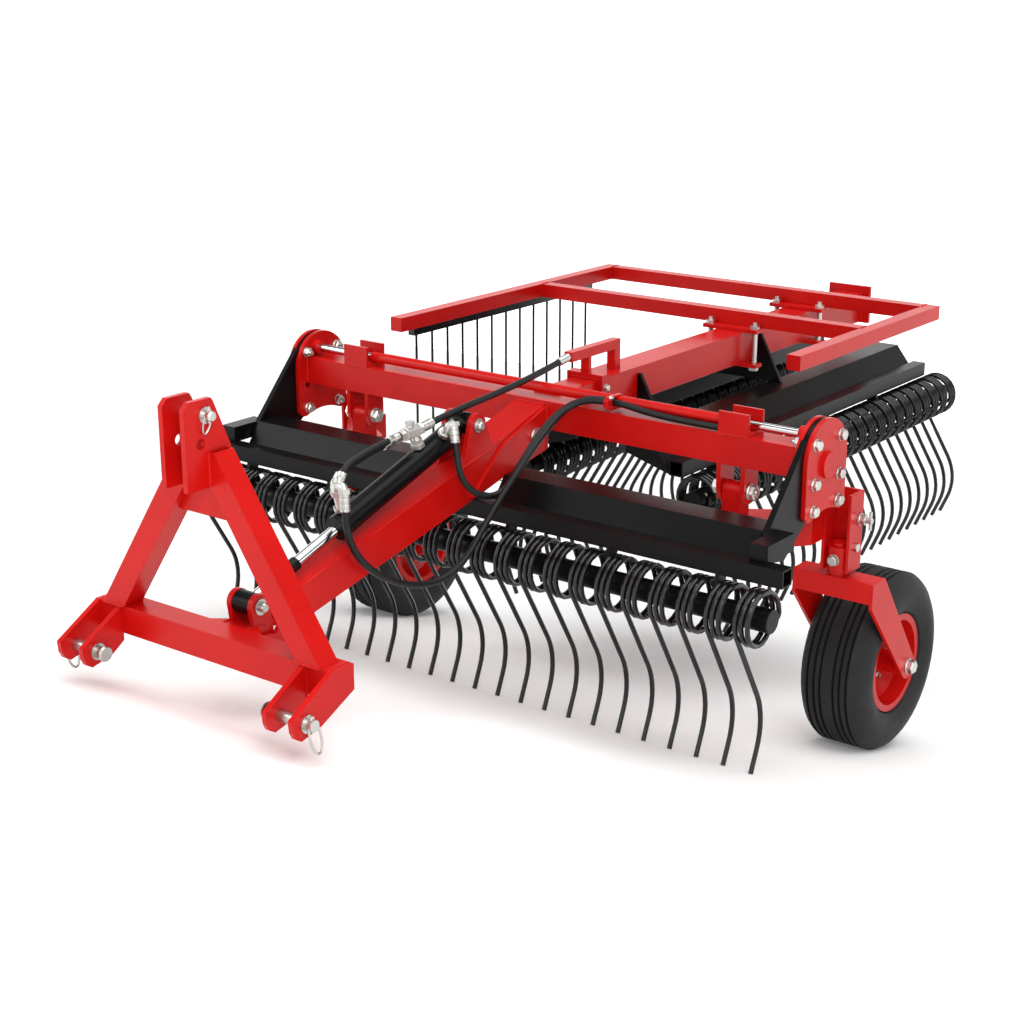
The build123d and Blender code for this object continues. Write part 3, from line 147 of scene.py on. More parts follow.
def finish(name, low, high, rough, grain_mm, bump, bevel_mm=0, **fixed):
    """A surface whose colour, gloss and grain vary. Fixed values sit on the shader itself."""
    material = bpy.data.materials.new(name)
    material.use_nodes = True
    tree = material.node_tree
    shader = tree.nodes["Principled BSDF"]
    place = put(tree, "ShaderNodeTexCoord").outputs["Object"]
    patches, sheen, fine = [
        put(
            tree,
            "ShaderNodeTexNoise",
            {"Vector": place, "Scale": MM_PER_M / size, "Detail": detail},
        ).outputs["Fac"]
        for size, detail in (
            (PATCH_MM, PATCH_DETAIL),
            (SHEEN_MM, SHEEN_DETAIL),
            (grain_mm, GRAIN_DETAIL),
        )
    ]
    colour = put(tree, "ShaderNodeValToRGB", {"Fac": patches})
    for stop, position, code in zip(colour.color_ramp.elements, PATCH_STOPS, (low, high)):
        stop.position, stop.color = position, linear(code)
    gloss = put(tree, "ShaderNodeMapRange", {"Value": sheen, "To Min": rough[0], "To Max": rough[1]})
    grain = put(
        tree, "ShaderNodeBump", {"Height": fine, "Strength": bump, "Distance": GRAIN_DEPTH_M}
    )
    if bevel_mm:
        rounded = put(
            tree, "ShaderNodeBevel", {"Radius": bevel_mm / MM_PER_M}, samples=BEVEL_SAMPLES
        )
        tree.links.new(rounded.outputs["Normal"], grain.inputs["Normal"])
    tree.links.new(colour.outputs["Color"], shader.inputs["Base Color"])
    tree.links.new(gloss.outputs["Result"], shader.inputs["Roughness"])
    tree.links.new(grain.outputs["Normal"], shader.inputs["Normal"])
    for socket, value in fixed.items():
        shader.inputs[socket.replace("_", " ")].default_value = value
    return material


print("colour patches of", PATCH_MM, "mm and gloss patches of", SHEEN_MM, "mm")

# %% [markdown]
# ## Materials
# Seven finishes cover the whole machine. A palette picture could hold them all, but one material for
# each real finish keeps its gloss and grain apart from the others'. Each CAD node's slot in the
# record says which finish it gets.

# %% Materials
looks = {
    # Sprayed enamel: clear red, glossy, with a faint orange peel.
    "red_paint": finish(
        "red_enamel", "c60d0a", "d0130e",
        rough=(0.27, 0.33), grain_mm=2.4, bump=0.04, bevel_mm=2, Specular_IOR_Level=0.22,
    ),
    # Black enamel on the hoods and bars: a little duller than the red.
    "black_paint": finish(
        "black_enamel", "070708", "0c0c0d",
        rough=(0.27, 0.36), grain_mm=2.6, bump=0.05, bevel_mm=2, Specular_IOR_Level=0.16,
    ),
    # Dipped enamel on spring wire: thick and shiny, so each turn of a coil has its own bright line.
    "spring_wire": finish(
        "dipped_enamel", "09090a", "0f0f10",
        rough=(0.18, 0.28), grain_mm=3.3, bump=0.05, Specular_IOR_Level=0.45,
    ),
    # Zinc plate on bolts and fittings: pale, slightly patchy metal.
    "zinc_steel": finish(
        "zinc_plate", "b4b5b1", "cfcfca",
        rough=(0.24, 0.4), grain_mm=3.8, bump=0.08, bevel_mm=1, Metallic=1,
    ),
    # Hard chrome, ground and polished: nearly a mirror.
    "chrome": finish(
        "hard_chrome", "d3d4d6", "e2e3e4",
        rough=(0.06, 0.12), grain_mm=1.7, bump=0.01, Metallic=1,
    ),
    # Moulded tyre rubber: matt and nearly black.
    "tyre": finish(
        "tyre_rubber", "121213", "1a1a1b",
        rough=(0.6, 0.76), grain_mm=6.7, bump=0.16, Specular_IOR_Level=0.35,
    ),
    # Extruded hose cover: smooth black rubber with a fine cloth mark.
    "hose": finish(
        "hose_rubber", "0c0c0d", "151516",
        rough=(0.38, 0.5), grain_mm=1.4, bump=0.12, Specular_IOR_Level=0.3,
    ),
}
for part in frame["record"]["subparts"]:
    mesh = nodes[part["node"]].data
    mesh.materials.clear()
    mesh.materials.append(looks[part["material_slot"]])
print(len(looks), "materials on", len(nodes), "nodes")

# %% [markdown]
# ## Floor and wall
# The photograph's ground is plain and white. A white world alone would do for that, but then no
# shadow would show where the machine stands. So a wide sheet of paper catches the soft shadow, and a
# round white wall far out hides its horizon. The camera and the gloss of the paint see the wall, but
# it doesn't light the machine.

# %% Floor and wall
FLOOR_HALF_M, WALL_R_M, WALL_HEIGHT_M, WALL_SIDES = 60, 50, 60, 64
PAPER_GLOW, WALL_GLOW = 0.12, 1.0


def studio_sheet(name, bm, material):
    """A sheet of the studio from a bmesh drawn in metres."""
    mesh = bpy.data.meshes.new(name)
    bm.to_mesh(mesh)
    bm.free()
    mesh.materials.append(material)
    return add_object(name, mesh)


# Matt studio paper: white, without gloss, and a little bright by itself.
studio_paper = finish(
    "studio_paper", "f4f4f3", "f8f8f7",
    rough=(0.85, 0.95), grain_mm=25, bump=0.0,
    Specular_IOR_Level=0.1, Emission_Color=WHITE, Emission_Strength=PAPER_GLOW,
)
sheet = bmesh.new()
bmesh.ops.create_grid(sheet, x_segments=1, y_segments=1, size=FLOOR_HALF_M)
floor = studio_sheet("floor", sheet, studio_paper)

# White wall paint under even light: flat white, with no shade of its own.
wall_paint = bpy.data.materials.new("wall_paint")
wall_paint.use_nodes = True
wall_shader = wall_paint.node_tree.nodes["Principled BSDF"].inputs
wall_shader["Emission Color"].default_value = WHITE
wall_shader["Emission Strength"].default_value = WALL_GLOW
sheet = bmesh.new()
bmesh.ops.create_cone(
    sheet,
    cap_ends=False,
    segments=WALL_SIDES,
    radius1=WALL_R_M,
    radius2=WALL_R_M,
    depth=WALL_HEIGHT_M,
)
wall = studio_sheet("wall", sheet, wall_paint)
wall.visible_diffuse = wall.visible_shadow = False
print("floor out to", FLOOR_HALF_M, "m and wall at", WALL_R_M, "m")

# %% [markdown]
# ## Light
# A studio lights a large machine with a wide soft box overhead and smaller ones in front. The box
# could be a huge area light, but its light would fall off across the floor. A sun that is 70 degrees
# wide is as soft, and as bright at the far end as at the near one. Two area lights in front, to the
# right and left, put their shine on the round tubes.

# %% World and lights
WORLD_LEVEL, SKY_LEVEL, SKY_SPREAD = 0.25, 2.5, radians(70)
SKY_TILT = (radians(8), radians(6), 0)
LAMP_SIDE_M = 2.0
LAMPS = (
    ("key", (4.0, -5.5, 3.5), (0, -0.3, 0.5), 130),
    ("fill", (-4.5, -5.0, 3.0), (0, 0, 0.5), 60),
)
world = bpy.data.worlds.new("surround")
world.use_nodes = True
surround = world.node_tree.nodes["Background"].inputs
surround["Color"].default_value = WHITE
surround["Strength"].default_value = WORLD_LEVEL
bpy.context.scene.world = world
bpy.context.scene.view_settings.view_transform = "Standard"

sky_data = bpy.data.lights.new("overhead", "SUN")
sky_data.energy, sky_data.angle = SKY_LEVEL, SKY_SPREAD
sky = add_object("overhead", sky_data)
sky.rotation_euler = SKY_TILT
for name, place, aim, watts in LAMPS:
    lamp_data = bpy.data.lights.new(name, "AREA")
    lamp_data.size, lamp_data.energy = LAMP_SIDE_M, watts
    lamp = add_object(name, lamp_data)
    lamp.location = place
    lamp.rotation_euler = (Vector(aim) - Vector(place)).to_track_quat("-Z", "Y").to_euler()
print("a sky light and", len(LAMPS), "lamps")

# %% [markdown]
# ## Finished pieces
# A piece is whatever is added to the CAD: a row of tines or a set of bolts. It could be an object
# with its own place and turn, but then its pattern would slide when the model is exported. So it is a
# mesh at the origin with its place in its vertices. It is drawn in level millimetres, parked, and
# rides on a body.

# %% A finished piece
SHARP_DEG = 38


def piece(name, bm, look, body):
    """A finished piece from a bmesh drawn in level millimetres."""
    bm.transform(PARK @ Matrix.Scale(1 / MM_PER_M, 4))
    bmesh.ops.recalc_face_normals(bm, faces=bm.faces)
    mesh = bpy.data.meshes.new(name)
    bm.to_mesh(mesh)
    bm.free()
    mesh.materials.append(looks[look])
    mesh.shade_smooth()
    mesh.set_sharp_from_angle(angle=radians(SHARP_DEG))
    made = add_object(name, mesh)
    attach(made, body)
    print(name, "has", len(mesh.polygons), "faces")
    return made


print("edges are sharp from", SHARP_DEG, "degrees")

# %% [markdown]
# ## Drums and bolts
# Washers, nuts, pins and bolt heads are all short round or six-sided drums. A circle could be
# extruded for each, but create_cone makes a drum with both caps in one step, and a smaller second
# radius gives a chamfer. A bolt is a few drums on one another, sized from its width across flats.

# %% Drums and bolts
ROUND, HEX = 24, 6
WASHER_R, WASHER_TOP, HEAD_TOP, CHAMFER_TOP = 0.62, 0.09, 0.49, 0.58
CHAMFER_FOOT_R, CHAMFER_TOP_R, STEM_R, STEM_TIP_R = 0.98, 0.82, 0.31, 0.27
WASHER_SIDES, STEM_SIDES = 20, 12


def facing(way):
    """A rotation that turns Z to a direction."""
    return Vector((0, 0, 1)).rotation_difference(Vector(way)).to_matrix().to_4x4()


def drum(bm, foot, way, radius, height, sides, top=None):
    """A boss on a foot point, along a direction, with a smaller top if that is given."""
    way = Vector(way).normalized()
    middle = Vector(foot) + way * height / 2
    bmesh.ops.create_cone(
        bm,
        cap_ends=True,
        segments=sides,
        radius1=radius,
        radius2=radius if top is None else top,
        depth=height,
        matrix=Matrix.Translation(middle) @ facing(way),
    )


def bolt(bm, foot, way, across, stem=0):
    """A washer, a chamfered hexagon head, and a stub of thread if a stem is given."""
    way = Vector(way).normalized()
    foot = Vector(foot)
    radius = across / sqrt(3)
    drum(bm, foot, way, across * WASHER_R, across * WASHER_TOP, WASHER_SIDES)
    drum(bm, foot + way * across * WASHER_TOP, way, radius, across * (HEAD_TOP - WASHER_TOP), HEX)
    drum(
        bm,
        foot + way * across * HEAD_TOP,
        way,
        radius * CHAMFER_FOOT_R,
        across * (CHAMFER_TOP - HEAD_TOP),
        HEX,
        radius * CHAMFER_TOP_R,
    )
    if stem:
        thread = foot + way * across * CHAMFER_TOP
        drum(bm, thread, way, across * STEM_R, stem, STEM_SIDES, across * STEM_TIP_R)


print("a bolt's head is", round(HEAD_TOP - WASHER_TOP, 2), "of its width high")

# %% [markdown]
# ## Bars and wires
# Wires, oil lines and weld beads are round bars that run along a path. A curve with a bevel is one
# way to make them. Here a ring of edges is carried along instead: extrude takes it straight on, and
# spin takes it round an axis. Both leave a wall of faces behind the ring, and give the new ring to go
# on from.

# %% Bars and wires


def straight(bm, ring, reach):
    """Carry a ring of edges straight on by a vector. Gives the new ring."""
    grown = bmesh.ops.extrude_edge_only(bm, edges=ring)["geom"]
    verts = [part for part in grown if isinstance(part, bmesh.types.BMVert)]
    bmesh.ops.translate(bm, vec=reach, verts=verts)
    return [part for part in grown if isinstance(part, bmesh.types.BMEdge) and part.is_boundary]


def swing(bm, ring, centre, axis, angle, steps, rise=0.0):
    """Carry a ring of edges round an axis, rising along it at each step. Gives the new ring."""
    verts = list({vert for edge in ring for vert in edge.verts})
    last = bmesh.ops.spin(
        bm,
        geom=verts + ring,
        cent=centre,
        axis=axis,
        dvec=Vector(axis) * rise,
        angle=angle,
        steps=steps,
    )["geom_last"]
    return [part for part in last if isinstance(part, bmesh.types.BMEdge)]


def start_ring(bm, place, way, radius, sides):
    """A capped circle that a bar grows from. Gives its edges."""
    spot = Matrix.Translation(place) @ facing(way)
    verts = bmesh.ops.create_circle(
        bm, cap_ends=True, radius=radius, segments=sides, matrix=spot
    )["verts"]
    return list({edge for vert in verts for edge in vert.link_edges})


def tube(bm, path, radius, sides):
    """A round bar along points. The radius is one number or one for each point."""
    path = [Vector(place) for place in path]
    last = len(path) - 1
    radii = radius if isinstance(radius, list) else [radius] * (last + 1)
    ways = [(path[min(k + 1, last)] - path[max(k - 1, 0)]).normalized() for k in range(last + 1)]
    ring = start_ring(bm, path[0], ways[0], radii[0], sides)
    for k in range(last):
        ring = straight(bm, ring, path[k + 1] - path[k])
        turn = ways[k].rotation_difference(ways[k + 1]).to_matrix().to_4x4()
        about = Matrix.Translation(-path[k + 1])
        verts = list({vert for edge in ring for vert in edge.verts})
        grow = Matrix.Scale(radii[k + 1] / radii[k], 4)
        bmesh.ops.transform(bm, matrix=turn @ grow, space=about, verts=verts)
    bmesh.ops.holes_fill(bm, edges=ring, sides=0)


WIRE_SIDES = 8
print("a wire has", WIRE_SIDES, "sides")

# %% [markdown]
# ## Hoses
# Three rubber hoses bring oil to the cylinder. They could be bars like the ones above, but a curve
# with a round bevel keeps its thickness in every bend and has few points to edit. Each hose follows
# the route that its CAD tube has, as one smooth spline with the same points, and takes its place.

# %% Routes of the hoses
# For each hose, its length in metres and its points in level millimetres.
routes = {
    "hose_front": (
        1.179,
        [
            (42, -806, 860), (47, -811, 815), (60, -815, 771), (78, -803, 726), (91, -768, 683),
            (102, -711, 644), (112, -643, 614), (124, -570, 603), (137, -505, 617),
            (148, -455, 658), (156, -412, 713), (160, -352, 770), (160, -270, 833),
            (156, -160, 903), (151, -62, 951), (175, -27, 973), (215, -7, 985), (260, -7, 985),
        ],
    ),
    "hose_base": (
        1.061,
        [
            (52, -396, 944), (64, -403, 902), (82, -412, 843), (103, -391, 799), (124, -348, 776),
            (136, -296, 781), (138, -222, 843), (133, -145, 900), (132, -53, 944),
            (161, -10, 970), (210, 14, 985), (300, 14, 981), (375, 14, 971), (455, 15, 966),
            (530, 16, 965), (603.8, 15, 965),
        ],
    ),
    "hose_upper": (
        0.630,
        [(0, -446, 972), (2, -340, 987), (6, -160, 1000), (4, 20, 1016), (0, 178.6, 1039)],
    ),
}
print({name: len(points) for name, (length, points) in routes.items()}, "points")

# %% Hoses
HOSE_D = 0.018
HOSE_RINGS, HOSE_STEPS, HOSE_ORDER = 4, 8, 3


def parked(x, y, z):
    """A level place in millimetres, as a parked place in metres."""
    return PARK @ Vector((x / MM_PER_M, y / MM_PER_M, z / MM_PER_M))


for name, (length, points) in routes.items():
    curve = bpy.data.curves.new(name + "_rubber", "CURVE")
    curve.dimensions = "3D"
    curve.bevel_depth = HOSE_D / 2
    curve.bevel_resolution = HOSE_RINGS
    curve.resolution_u = HOSE_STEPS
    curve.use_fill_caps = True
    spline = curve.splines.new("NURBS")
    spline.points.add(len(points) - 1)
    for target, place in zip(spline.points, points):
        target.co = (*parked(*place), 1)
    spline.order_u = HOSE_ORDER
    spline.use_endpoint_u = True
    curve.materials.append(looks["hose"])
    hose = add_object(name + "_rubber", curve)
    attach(hose, "frame")
    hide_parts(name)
    print(hose.name, length, "m")

# %% [markdown]
# ## Spring tines
# A tine is one spring wire: a short end on the bar's pad, turns of a coil, a leaning leg, a long bend
# and a tip. A screw modifier could wind the coil, but the leg and bend would need other pieces. spin
# with a small rise at each step winds it, and the same ring of edges then goes on down the leg. One
# wire is made in its own plane and copied along each row, so that all of them are alike.

# %% One tine
WIRE_R, COIL_R, END_R, BEND_R = 6.6, 68, 13, 165
END_RUN, LEG_RUN, TIP_RUN = 25, 222, 63
LEAN, CURL = radians(31.2), radians(23.1)
COIL_TURN, COIL_STEPS, COIL_RISE = 5 * pi + LEAN, 56, 44
END_STEPS, BEND_STEPS = 4, 8
WIND = (0, 0, 1)
leg_way = Vector((sin(LEAN), -cos(LEAN), 0))
leg_side = Vector((cos(LEAN), sin(LEAN), 0))
tip_way = Vector((-sin(CURL), -cos(CURL), 0))
coil_top = Vector((0, 0, COIL_RISE / 2))
end_middle = coil_top + Vector((COIL_R - END_R, 0, 0))
bend_middle = -leg_side * (COIL_R + BEND_R) + leg_way * LEG_RUN - coil_top

wire = bmesh.new()
end_start = coil_top + Vector((COIL_R - END_R - END_RUN, -END_R, 0))
ring = start_ring(wire, end_start, (1, 0, 0), WIRE_R, WIRE_SIDES)
ring = straight(wire, ring, (END_RUN, 0, 0))
ring = swing(wire, ring, end_middle, WIND, pi / 2, END_STEPS)
ring = swing(wire, ring, coil_top, WIND, COIL_TURN, COIL_STEPS, -COIL_RISE / COIL_STEPS)
ring = straight(wire, ring, leg_way * LEG_RUN)
ring = swing(wire, ring, bend_middle, WIND, -LEAN - CURL, BEND_STEPS)
ring = straight(wire, ring, tip_way * TIP_RUN)
bmesh.ops.holes_fill(wire, edges=ring, sides=0)
wire_mesh = bpy.data.meshes.new("one_tine")
wire.to_mesh(wire_mesh)
reach = -min(vert.co.y for vert in wire.verts)
print("a tine has", len(wire.faces), "faces and reaches", round(reach, 1), "mm below its coil")
wire.free()

# %% The three rows
COIL_Z, FRONT_COIL_Y, REAR_COIL_X = 617, -320, 305
TINES, FRONT_STEP, REAR_STEP, REAR_START = 24, 80, 69, 420
front_xs = [(k - (TINES - 1) / 2) * FRONT_STEP for k in range(TINES)]
rear_ys = [REAR_START + REAR_STEP * k for k in range(TINES)]


def tine_row(name, node, planes):
    """A row of tines, each turned from its own plane to (origin, x, y, z) directions."""
    bm = bmesh.new()
    for origin, x, y, z in planes:
        first = len(bm.verts)
        bm.from_mesh(wire_mesh)
        bm.verts.ensure_lookup_table()
        turn = Matrix((x, y, z)).transposed().to_4x4()
        bmesh.ops.transform(bm, matrix=Matrix.Translation(origin) @ turn, verts=bm.verts[first:])
    row = piece(name, bm, "spring_wire", "frame")
    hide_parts(node)


tine_row(
    "front_tine_wires",
    "front_tines",
    [((x, FRONT_COIL_Y, COIL_Z), (0, 1, 0), (0, 0, 1), (1, 0, 0)) for x in front_xs],
)
for side, word in SIDES:
    tine_row(
        f"rear_tine_wires_{word}",
        f"rear_tines_{word}",
        [
            ((side * REAR_COIL_X, y, COIL_Z), (side, 0, 0), (0, 0, 1), (0, -side, 0))
            for y in rear_ys
        ],
    )
bpy.data.meshes.remove(wire_mesh)

# %% [markdown]
# ## Tyres
# A tyre that is towed has ribs round its tread with grooves between them, round shoulders, and a bead
# on the rim. The grooves could be a bump in the rubber's material, but they show on the outline, so
# they are real here. The section is drawn as a half, mirrored, and turned once about the axle with
# spin. use_merge joins the last step to the first. The rim closes the casing on its inner side.

# %% Ribbed tyres
TYRE_HALF, TYRE_STEPS = 101.5, 48
GROOVE_R, GROOVE_WIDTH, GROOVE_SLOPE = 245, 8, 2
GROOVE_EDGES, MIDDLE_EDGE = (62, 42, 24), 8
half_section = [
    (75, 141), (86, 146), (96, 166), (TYRE_HALF, 186), (98, 206), (91, 226), (80, 242), (72, 248),
]
for edge in GROOVE_EDGES:
    far_edge = edge - GROOVE_WIDTH
    half_section += [(edge, TYRE_R), (edge - GROOVE_SLOPE, GROOVE_R)]
    half_section += [(far_edge + GROOVE_SLOPE, GROOVE_R), (far_edge, TYRE_R)]
half_section.append((MIDDLE_EDGE, TYRE_R))
section = half_section + [(-x, r) for x, r in reversed(half_section)]
for side, word in SIDES:
    bm = bmesh.new()
    line = [bm.verts.new((side * WHEEL_X + x, AXLE_Y, TYRE_R + r)) for x, r in section]
    edges = [bm.edges.new(pair) for pair in zip(line, line[1:])]
    bmesh.ops.spin(
        bm,
        geom=line + edges,
        cent=(side * WHEEL_X, AXLE_Y, TYRE_R),
        axis=(1, 0, 0),
        angle=2 * pi,
        steps=TYRE_STEPS,
        use_merge=True,
    )
    tyre = piece(f"tyre_{word}_rubber", bm, "tyre", f"wheel_{word}")
    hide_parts(f"tyre_{word}")

# %% [markdown]
# ## Wheel bolts and axle nuts
# Five bolts hold each rim's disc, a valve stem stands beside them, and a nut closes each end of the
# axle. An array modifier could repeat a bolt, but it needs a second object to turn about. A loop over
# angles does the same in one mesh. The bolts ride on the wheel and turn with it, and the axle's nuts
# stay on the caster.

# %% Wheel bolts and axle nuts
WHEEL_BOLTS, BOLT_CIRCLE_R, BOLT_PHASE, DISC_HALF, FORK_HALF = 5, 62, 0.3, 12, 118.2
WHEEL_BOLT_WIDTH, WHEEL_BOLT_STEM, AXLE_NUT_WIDTH = 19, 6, 36
VALVE_PATH, VALVE_R = ((14, 84), (30, 90), (46, 92)), 4
for side, word in SIDES:
    middle = side * WHEEL_X
    bm = bmesh.new()
    for face in (-1, 1):
        for k in range(WHEEL_BOLTS):
            turn = 2 * pi * k / WHEEL_BOLTS + BOLT_PHASE
            y, z = AXLE_Y + BOLT_CIRCLE_R * sin(turn), TYRE_R + BOLT_CIRCLE_R * cos(turn)
            foot = (middle + face * DISC_HALF, y, z)
            bolt(bm, foot, (face, 0, 0), WHEEL_BOLT_WIDTH, WHEEL_BOLT_STEM)
    valve = [(middle + x, AXLE_Y + y, TYRE_R) for x, y in VALVE_PATH]
    tube(bm, valve, VALVE_R, WIRE_SIDES)
    piece(f"wheel_bolts_{word}", bm, "zinc_steel", f"wheel_{word}")
    bm = bmesh.new()
    for face in (-1, 1):
        bolt(bm, (middle + face * FORK_HALF, AXLE_Y, TYRE_R), (face, 0, 0), AXLE_NUT_WIDTH)
    piece(f"axle_nuts_{word}", bm, "zinc_steel", f"caster_{word}")

# %% [markdown]
# ## Bolts on the frame
# Six bolts hold each hood arm between its end plates. More bolts hold the wheel arms, the tongue, the
# wheel posts' sleeves, the collar, the hose strap, the upper frame's clamps and the rear end plate.
# Each could be an object of its own, but they share one look and never move apart, so they are drawn
# into one mesh.

# %% Bolts on the frame
PLATE_OUT, PLATE_IN, ARM_X, ARM_HALF = 887, 847, 646, 42
HOOD_YS, HOOD_ZS = (-1, 131), (970, 868, 797)
NO_NUT = (-1, 868)  # the beam's corner leaves no room for a nut here
COLLAR_X, COLLAR_ZS, REAR_X, REAR_ZS = 62, (890, 940), 45, (890, 960)
CLAMP_X, CLAMP_YS, CLAMP_NUT_R = 82, (1091, 1524), 15.6
UP, REARWARD = (0, 0, 1), (0, 1, 0)
bm = bmesh.new()
for side in (-1, 1):
    for y in HOOD_YS:
        for z in HOOD_ZS:
            bolt(bm, (side * PLATE_OUT, y, z), (side, 0, 0), 26)
            if (y, z) != NO_NUT:
                bolt(bm, (side * PLATE_IN, y, z), (-side, 0, 0), 26, 8)
    for way in (1, -1):
        bolt(bm, (side * ARM_X + way * ARM_HALF, 30, 805), (way, 0, 0), 36, 4)
    bolt(bm, (side * 58, -53, 870), (side, 0, 0), 34)
    bolt(bm, (side * WHEEL_X, 196.3, 607), (0, -1, 0), 26)
for side in (-1, 1):
    for z in COLLAR_ZS:
        bolt(bm, (side * COLLAR_X, 281, z), (side, 0, 0), 17)
bolt(bm, (274, -8, 999), (1, 0, 0), 11, 4)
for y in CLAMP_YS:
    for x in (-CLAMP_X, CLAMP_X):
        drum(bm, (x, y, 853), UP, 8.7, 112, 20)
        drum(bm, (x, y, 842.2), UP, CLAMP_NUT_R, 10.6, HEX)
        drum(bm, (x, y, 977.2), UP, CLAMP_NUT_R, 11, HEX)
        drum(bm, (x, y, 988.2), UP, 8.2, 10, 16, 7.2)
for x in (-REAR_X, REAR_X):
    for z in REAR_ZS:
        bolt(bm, (x, 1912, z), REARWARD, 17, 5)
piece("frame_bolts", bm, "zinc_steel", "frame")

# %% [markdown]
# ## Bolts on the tine bars
# Each tine's end is held on its pad by a small bolt. Seventy-two objects would be slow to handle, so
# they are one mesh as well. The same loop of places that set out the tines sets out their bolts, so
# that the two can't drift apart.

# %% Pad bolts
PAD_RISE, PAD_REACH, PAD_SIDE, PAD_BOLT_WIDTH, PAD_STEM = 14, 20, 6, 12, 2
pads = [(x + PAD_SIDE, FRONT_COIL_Y + PAD_REACH, COIL_Z + PAD_RISE) for x in front_xs]
for side in (-1, 1):
    x = side * (REAR_COIL_X + PAD_REACH)
    pads += [(x, y - side * PAD_SIDE, COIL_Z + PAD_RISE) for y in rear_ys]
bm = bmesh.new()
for pad in pads:
    bolt(bm, pad, UP, PAD_BOLT_WIDTH, PAD_STEM)
piece("pad_bolts", bm, "zinc_steel", "frame")

# %% [markdown]
# ## Pins and clips
# Round pins join the hitch to a tractor's links, to the tongue and to the cylinder. Washers lie
# against their plates, and a spring clip of bent wire hangs from a pin's end so that it can't slide
# out. A stretched torus could be the clip's loop, but its wire would be stretched as well. So the
# loop is a bar of even thickness along the points of a long, narrow ring.

# %% Pins and clips on the hitch
LINK_PIN, TOP_PIN, ROD_PIN, HINGE_PIN = (-1318, 554), (-1247, 1172), (-1104, 680), (-1090, 580)
LOOP_STEPS, LOOP_TOP, CLIP_ABOVE, CLIP_BELOW, LOOP_WIRE = 20, 12, 22, 16, 0.75


def clip(bm, top, drop, width, wire, lean):
    """A wire clip: a short pin through the top point, and a leaning loop that hangs from it."""
    top = Vector(top)
    pin = [top + Vector((0, 0, CLIP_ABOVE)), top, top - Vector((0, 0, CLIP_BELOW))]
    tube(bm, pin, wire, WIRE_SIDES)
    loop = []
    for k in range(LOOP_STEPS + 1):
        turn = 2 * pi * k / LOOP_STEPS
        fall = (1 - cos(turn)) / 2
        sway = width * sin(turn) + lean * fall
        loop.append(top + Vector((lean * fall, sway, LOOP_TOP - drop * fall)))
    tube(bm, loop, wire * LOOP_WIRE, WIRE_SIDES)


bm = bmesh.new()
for side in (-1, 1):
    outward, inward = (side, 0, 0), (-side, 0, 0)
    drum(bm, (side * 388, *LINK_PIN), outward, 21, 4, ROUND)
    drum(bm, (side * 295, *LINK_PIN), inward, 21, 4, ROUND)
    drum(bm, (side * 268, *LINK_PIN), inward, 20, 6, ROUND, 17)
    clip(bm, (side * 402, *LINK_PIN), drop=80, width=17, wire=4.2, lean=10)
    drum(bm, (side * 41.6, *TOP_PIN), outward, 19, 4, ROUND)
    drum(bm, (side * 63.5, *TOP_PIN), outward, 12.5, 5, ROUND, 9)
    drum(bm, (side * 41.2, *ROD_PIN), outward, 20, 4, ROUND)
    drum(bm, (side * 55, *ROD_PIN), outward, 12.5, 4, ROUND, 9)
    drum(bm, (side * 65, *HINGE_PIN), outward, 14, 5, ROUND, 10)
for x in (56, -56):
    clip(bm, (x, *TOP_PIN), drop=52, width=11, wire=3, lean=-8)
piece("hitch_clips", bm, "zinc_steel", "hitch")

# %% Washers on the cylinder's base pin
BASE_PIN = (-293, 947)
bm = bmesh.new()
for side in (-1, 1):
    drum(bm, (side * 49.2, *BASE_PIN), (side, 0, 0), 19, 4, ROUND)
    drum(bm, (side * 61, *BASE_PIN), (side, 0, 0), 12.5, 4, ROUND, 9)
piece("base_pin_washers", bm, "zinc_steel", "frame")

# %% [markdown]
# ## Cylinder fittings
# Oil goes to the barrel through a tee over the gland, a valve body and an elbow at the base. Crimped
# ferrules hold the ends of the hoses, and of two short lines between the tee and the valve. These
# could be cut with booleans, but six-sided drums and bars look the same and have few faces. A crimp
# is a bar whose radius steps in and out along it. All of the fittings are drawn into one bmesh over
# the next three cells.

# %% Ports, elbow, tee and valve
axis = Vector((0, -811, -267)).normalized()
rise = Vector((0, axis.z, -axis.y))
base_pin = Vector((0, *BASE_PIN))
elbow = (axis.cross(rise) * -0.602 + rise * 0.799).normalized()
BEND_PIPE_R, PIPE_SIDES = 10.5, 16
fitting_bm = bmesh.new()
for distance, low, high in ((495, 32.5, 104), (186, 31.5, 70)):
    foot = base_pin + axis * distance
    tube(fitting_bm, [foot + rise * r for r in (low, high - 8, high)], [11, 11, 9], 18)
    drum(fitting_bm, foot + rise * (low + 3), rise, 19, 13, HEX)
    drum(fitting_bm, foot + rise * (high - 24), rise, 16, 14, HEX)
foot = base_pin + axis * 104
base_bend = [foot + elbow * 31.5, foot + elbow * 52, (38, -402, 968), (43, -394, 975), (46, -393, 966)]
tube(fitting_bm, base_bend, BEND_PIPE_R, PIPE_SIDES)
drum(fitting_bm, foot + elbow * 34, elbow, 18, 13, HEX)
tee_bend = [(0, -788, 880), (16, -795, 893), (33, -802, 898), (41, -805, 889), (42, -806, 876)]
tube(fitting_bm, tee_bend, BEND_PIPE_R, PIPE_SIDES)
drum(fitting_bm, (-4, -790, 884), (1, -0.2, 0.3), 15, 14, HEX)
valve_line = [(0, -552, 965), (0, -532, 966), (0, -490, 967), (0, -470, 968)]
for start, end, radius in zip(valve_line, valve_line[1:], (14, 19, 14)):
    along = Vector(end) - Vector(start)
    drum(fitting_bm, start, along, radius, along.length, HEX)
drum(fitting_bm, (0, -511, 966), UP, 10, 26, 16)
drum(fitting_bm, (0, -511, 988), UP, 13, 8, HEX)
print("ports, elbow, tee and valve have", len(fitting_bm.faces), "faces")

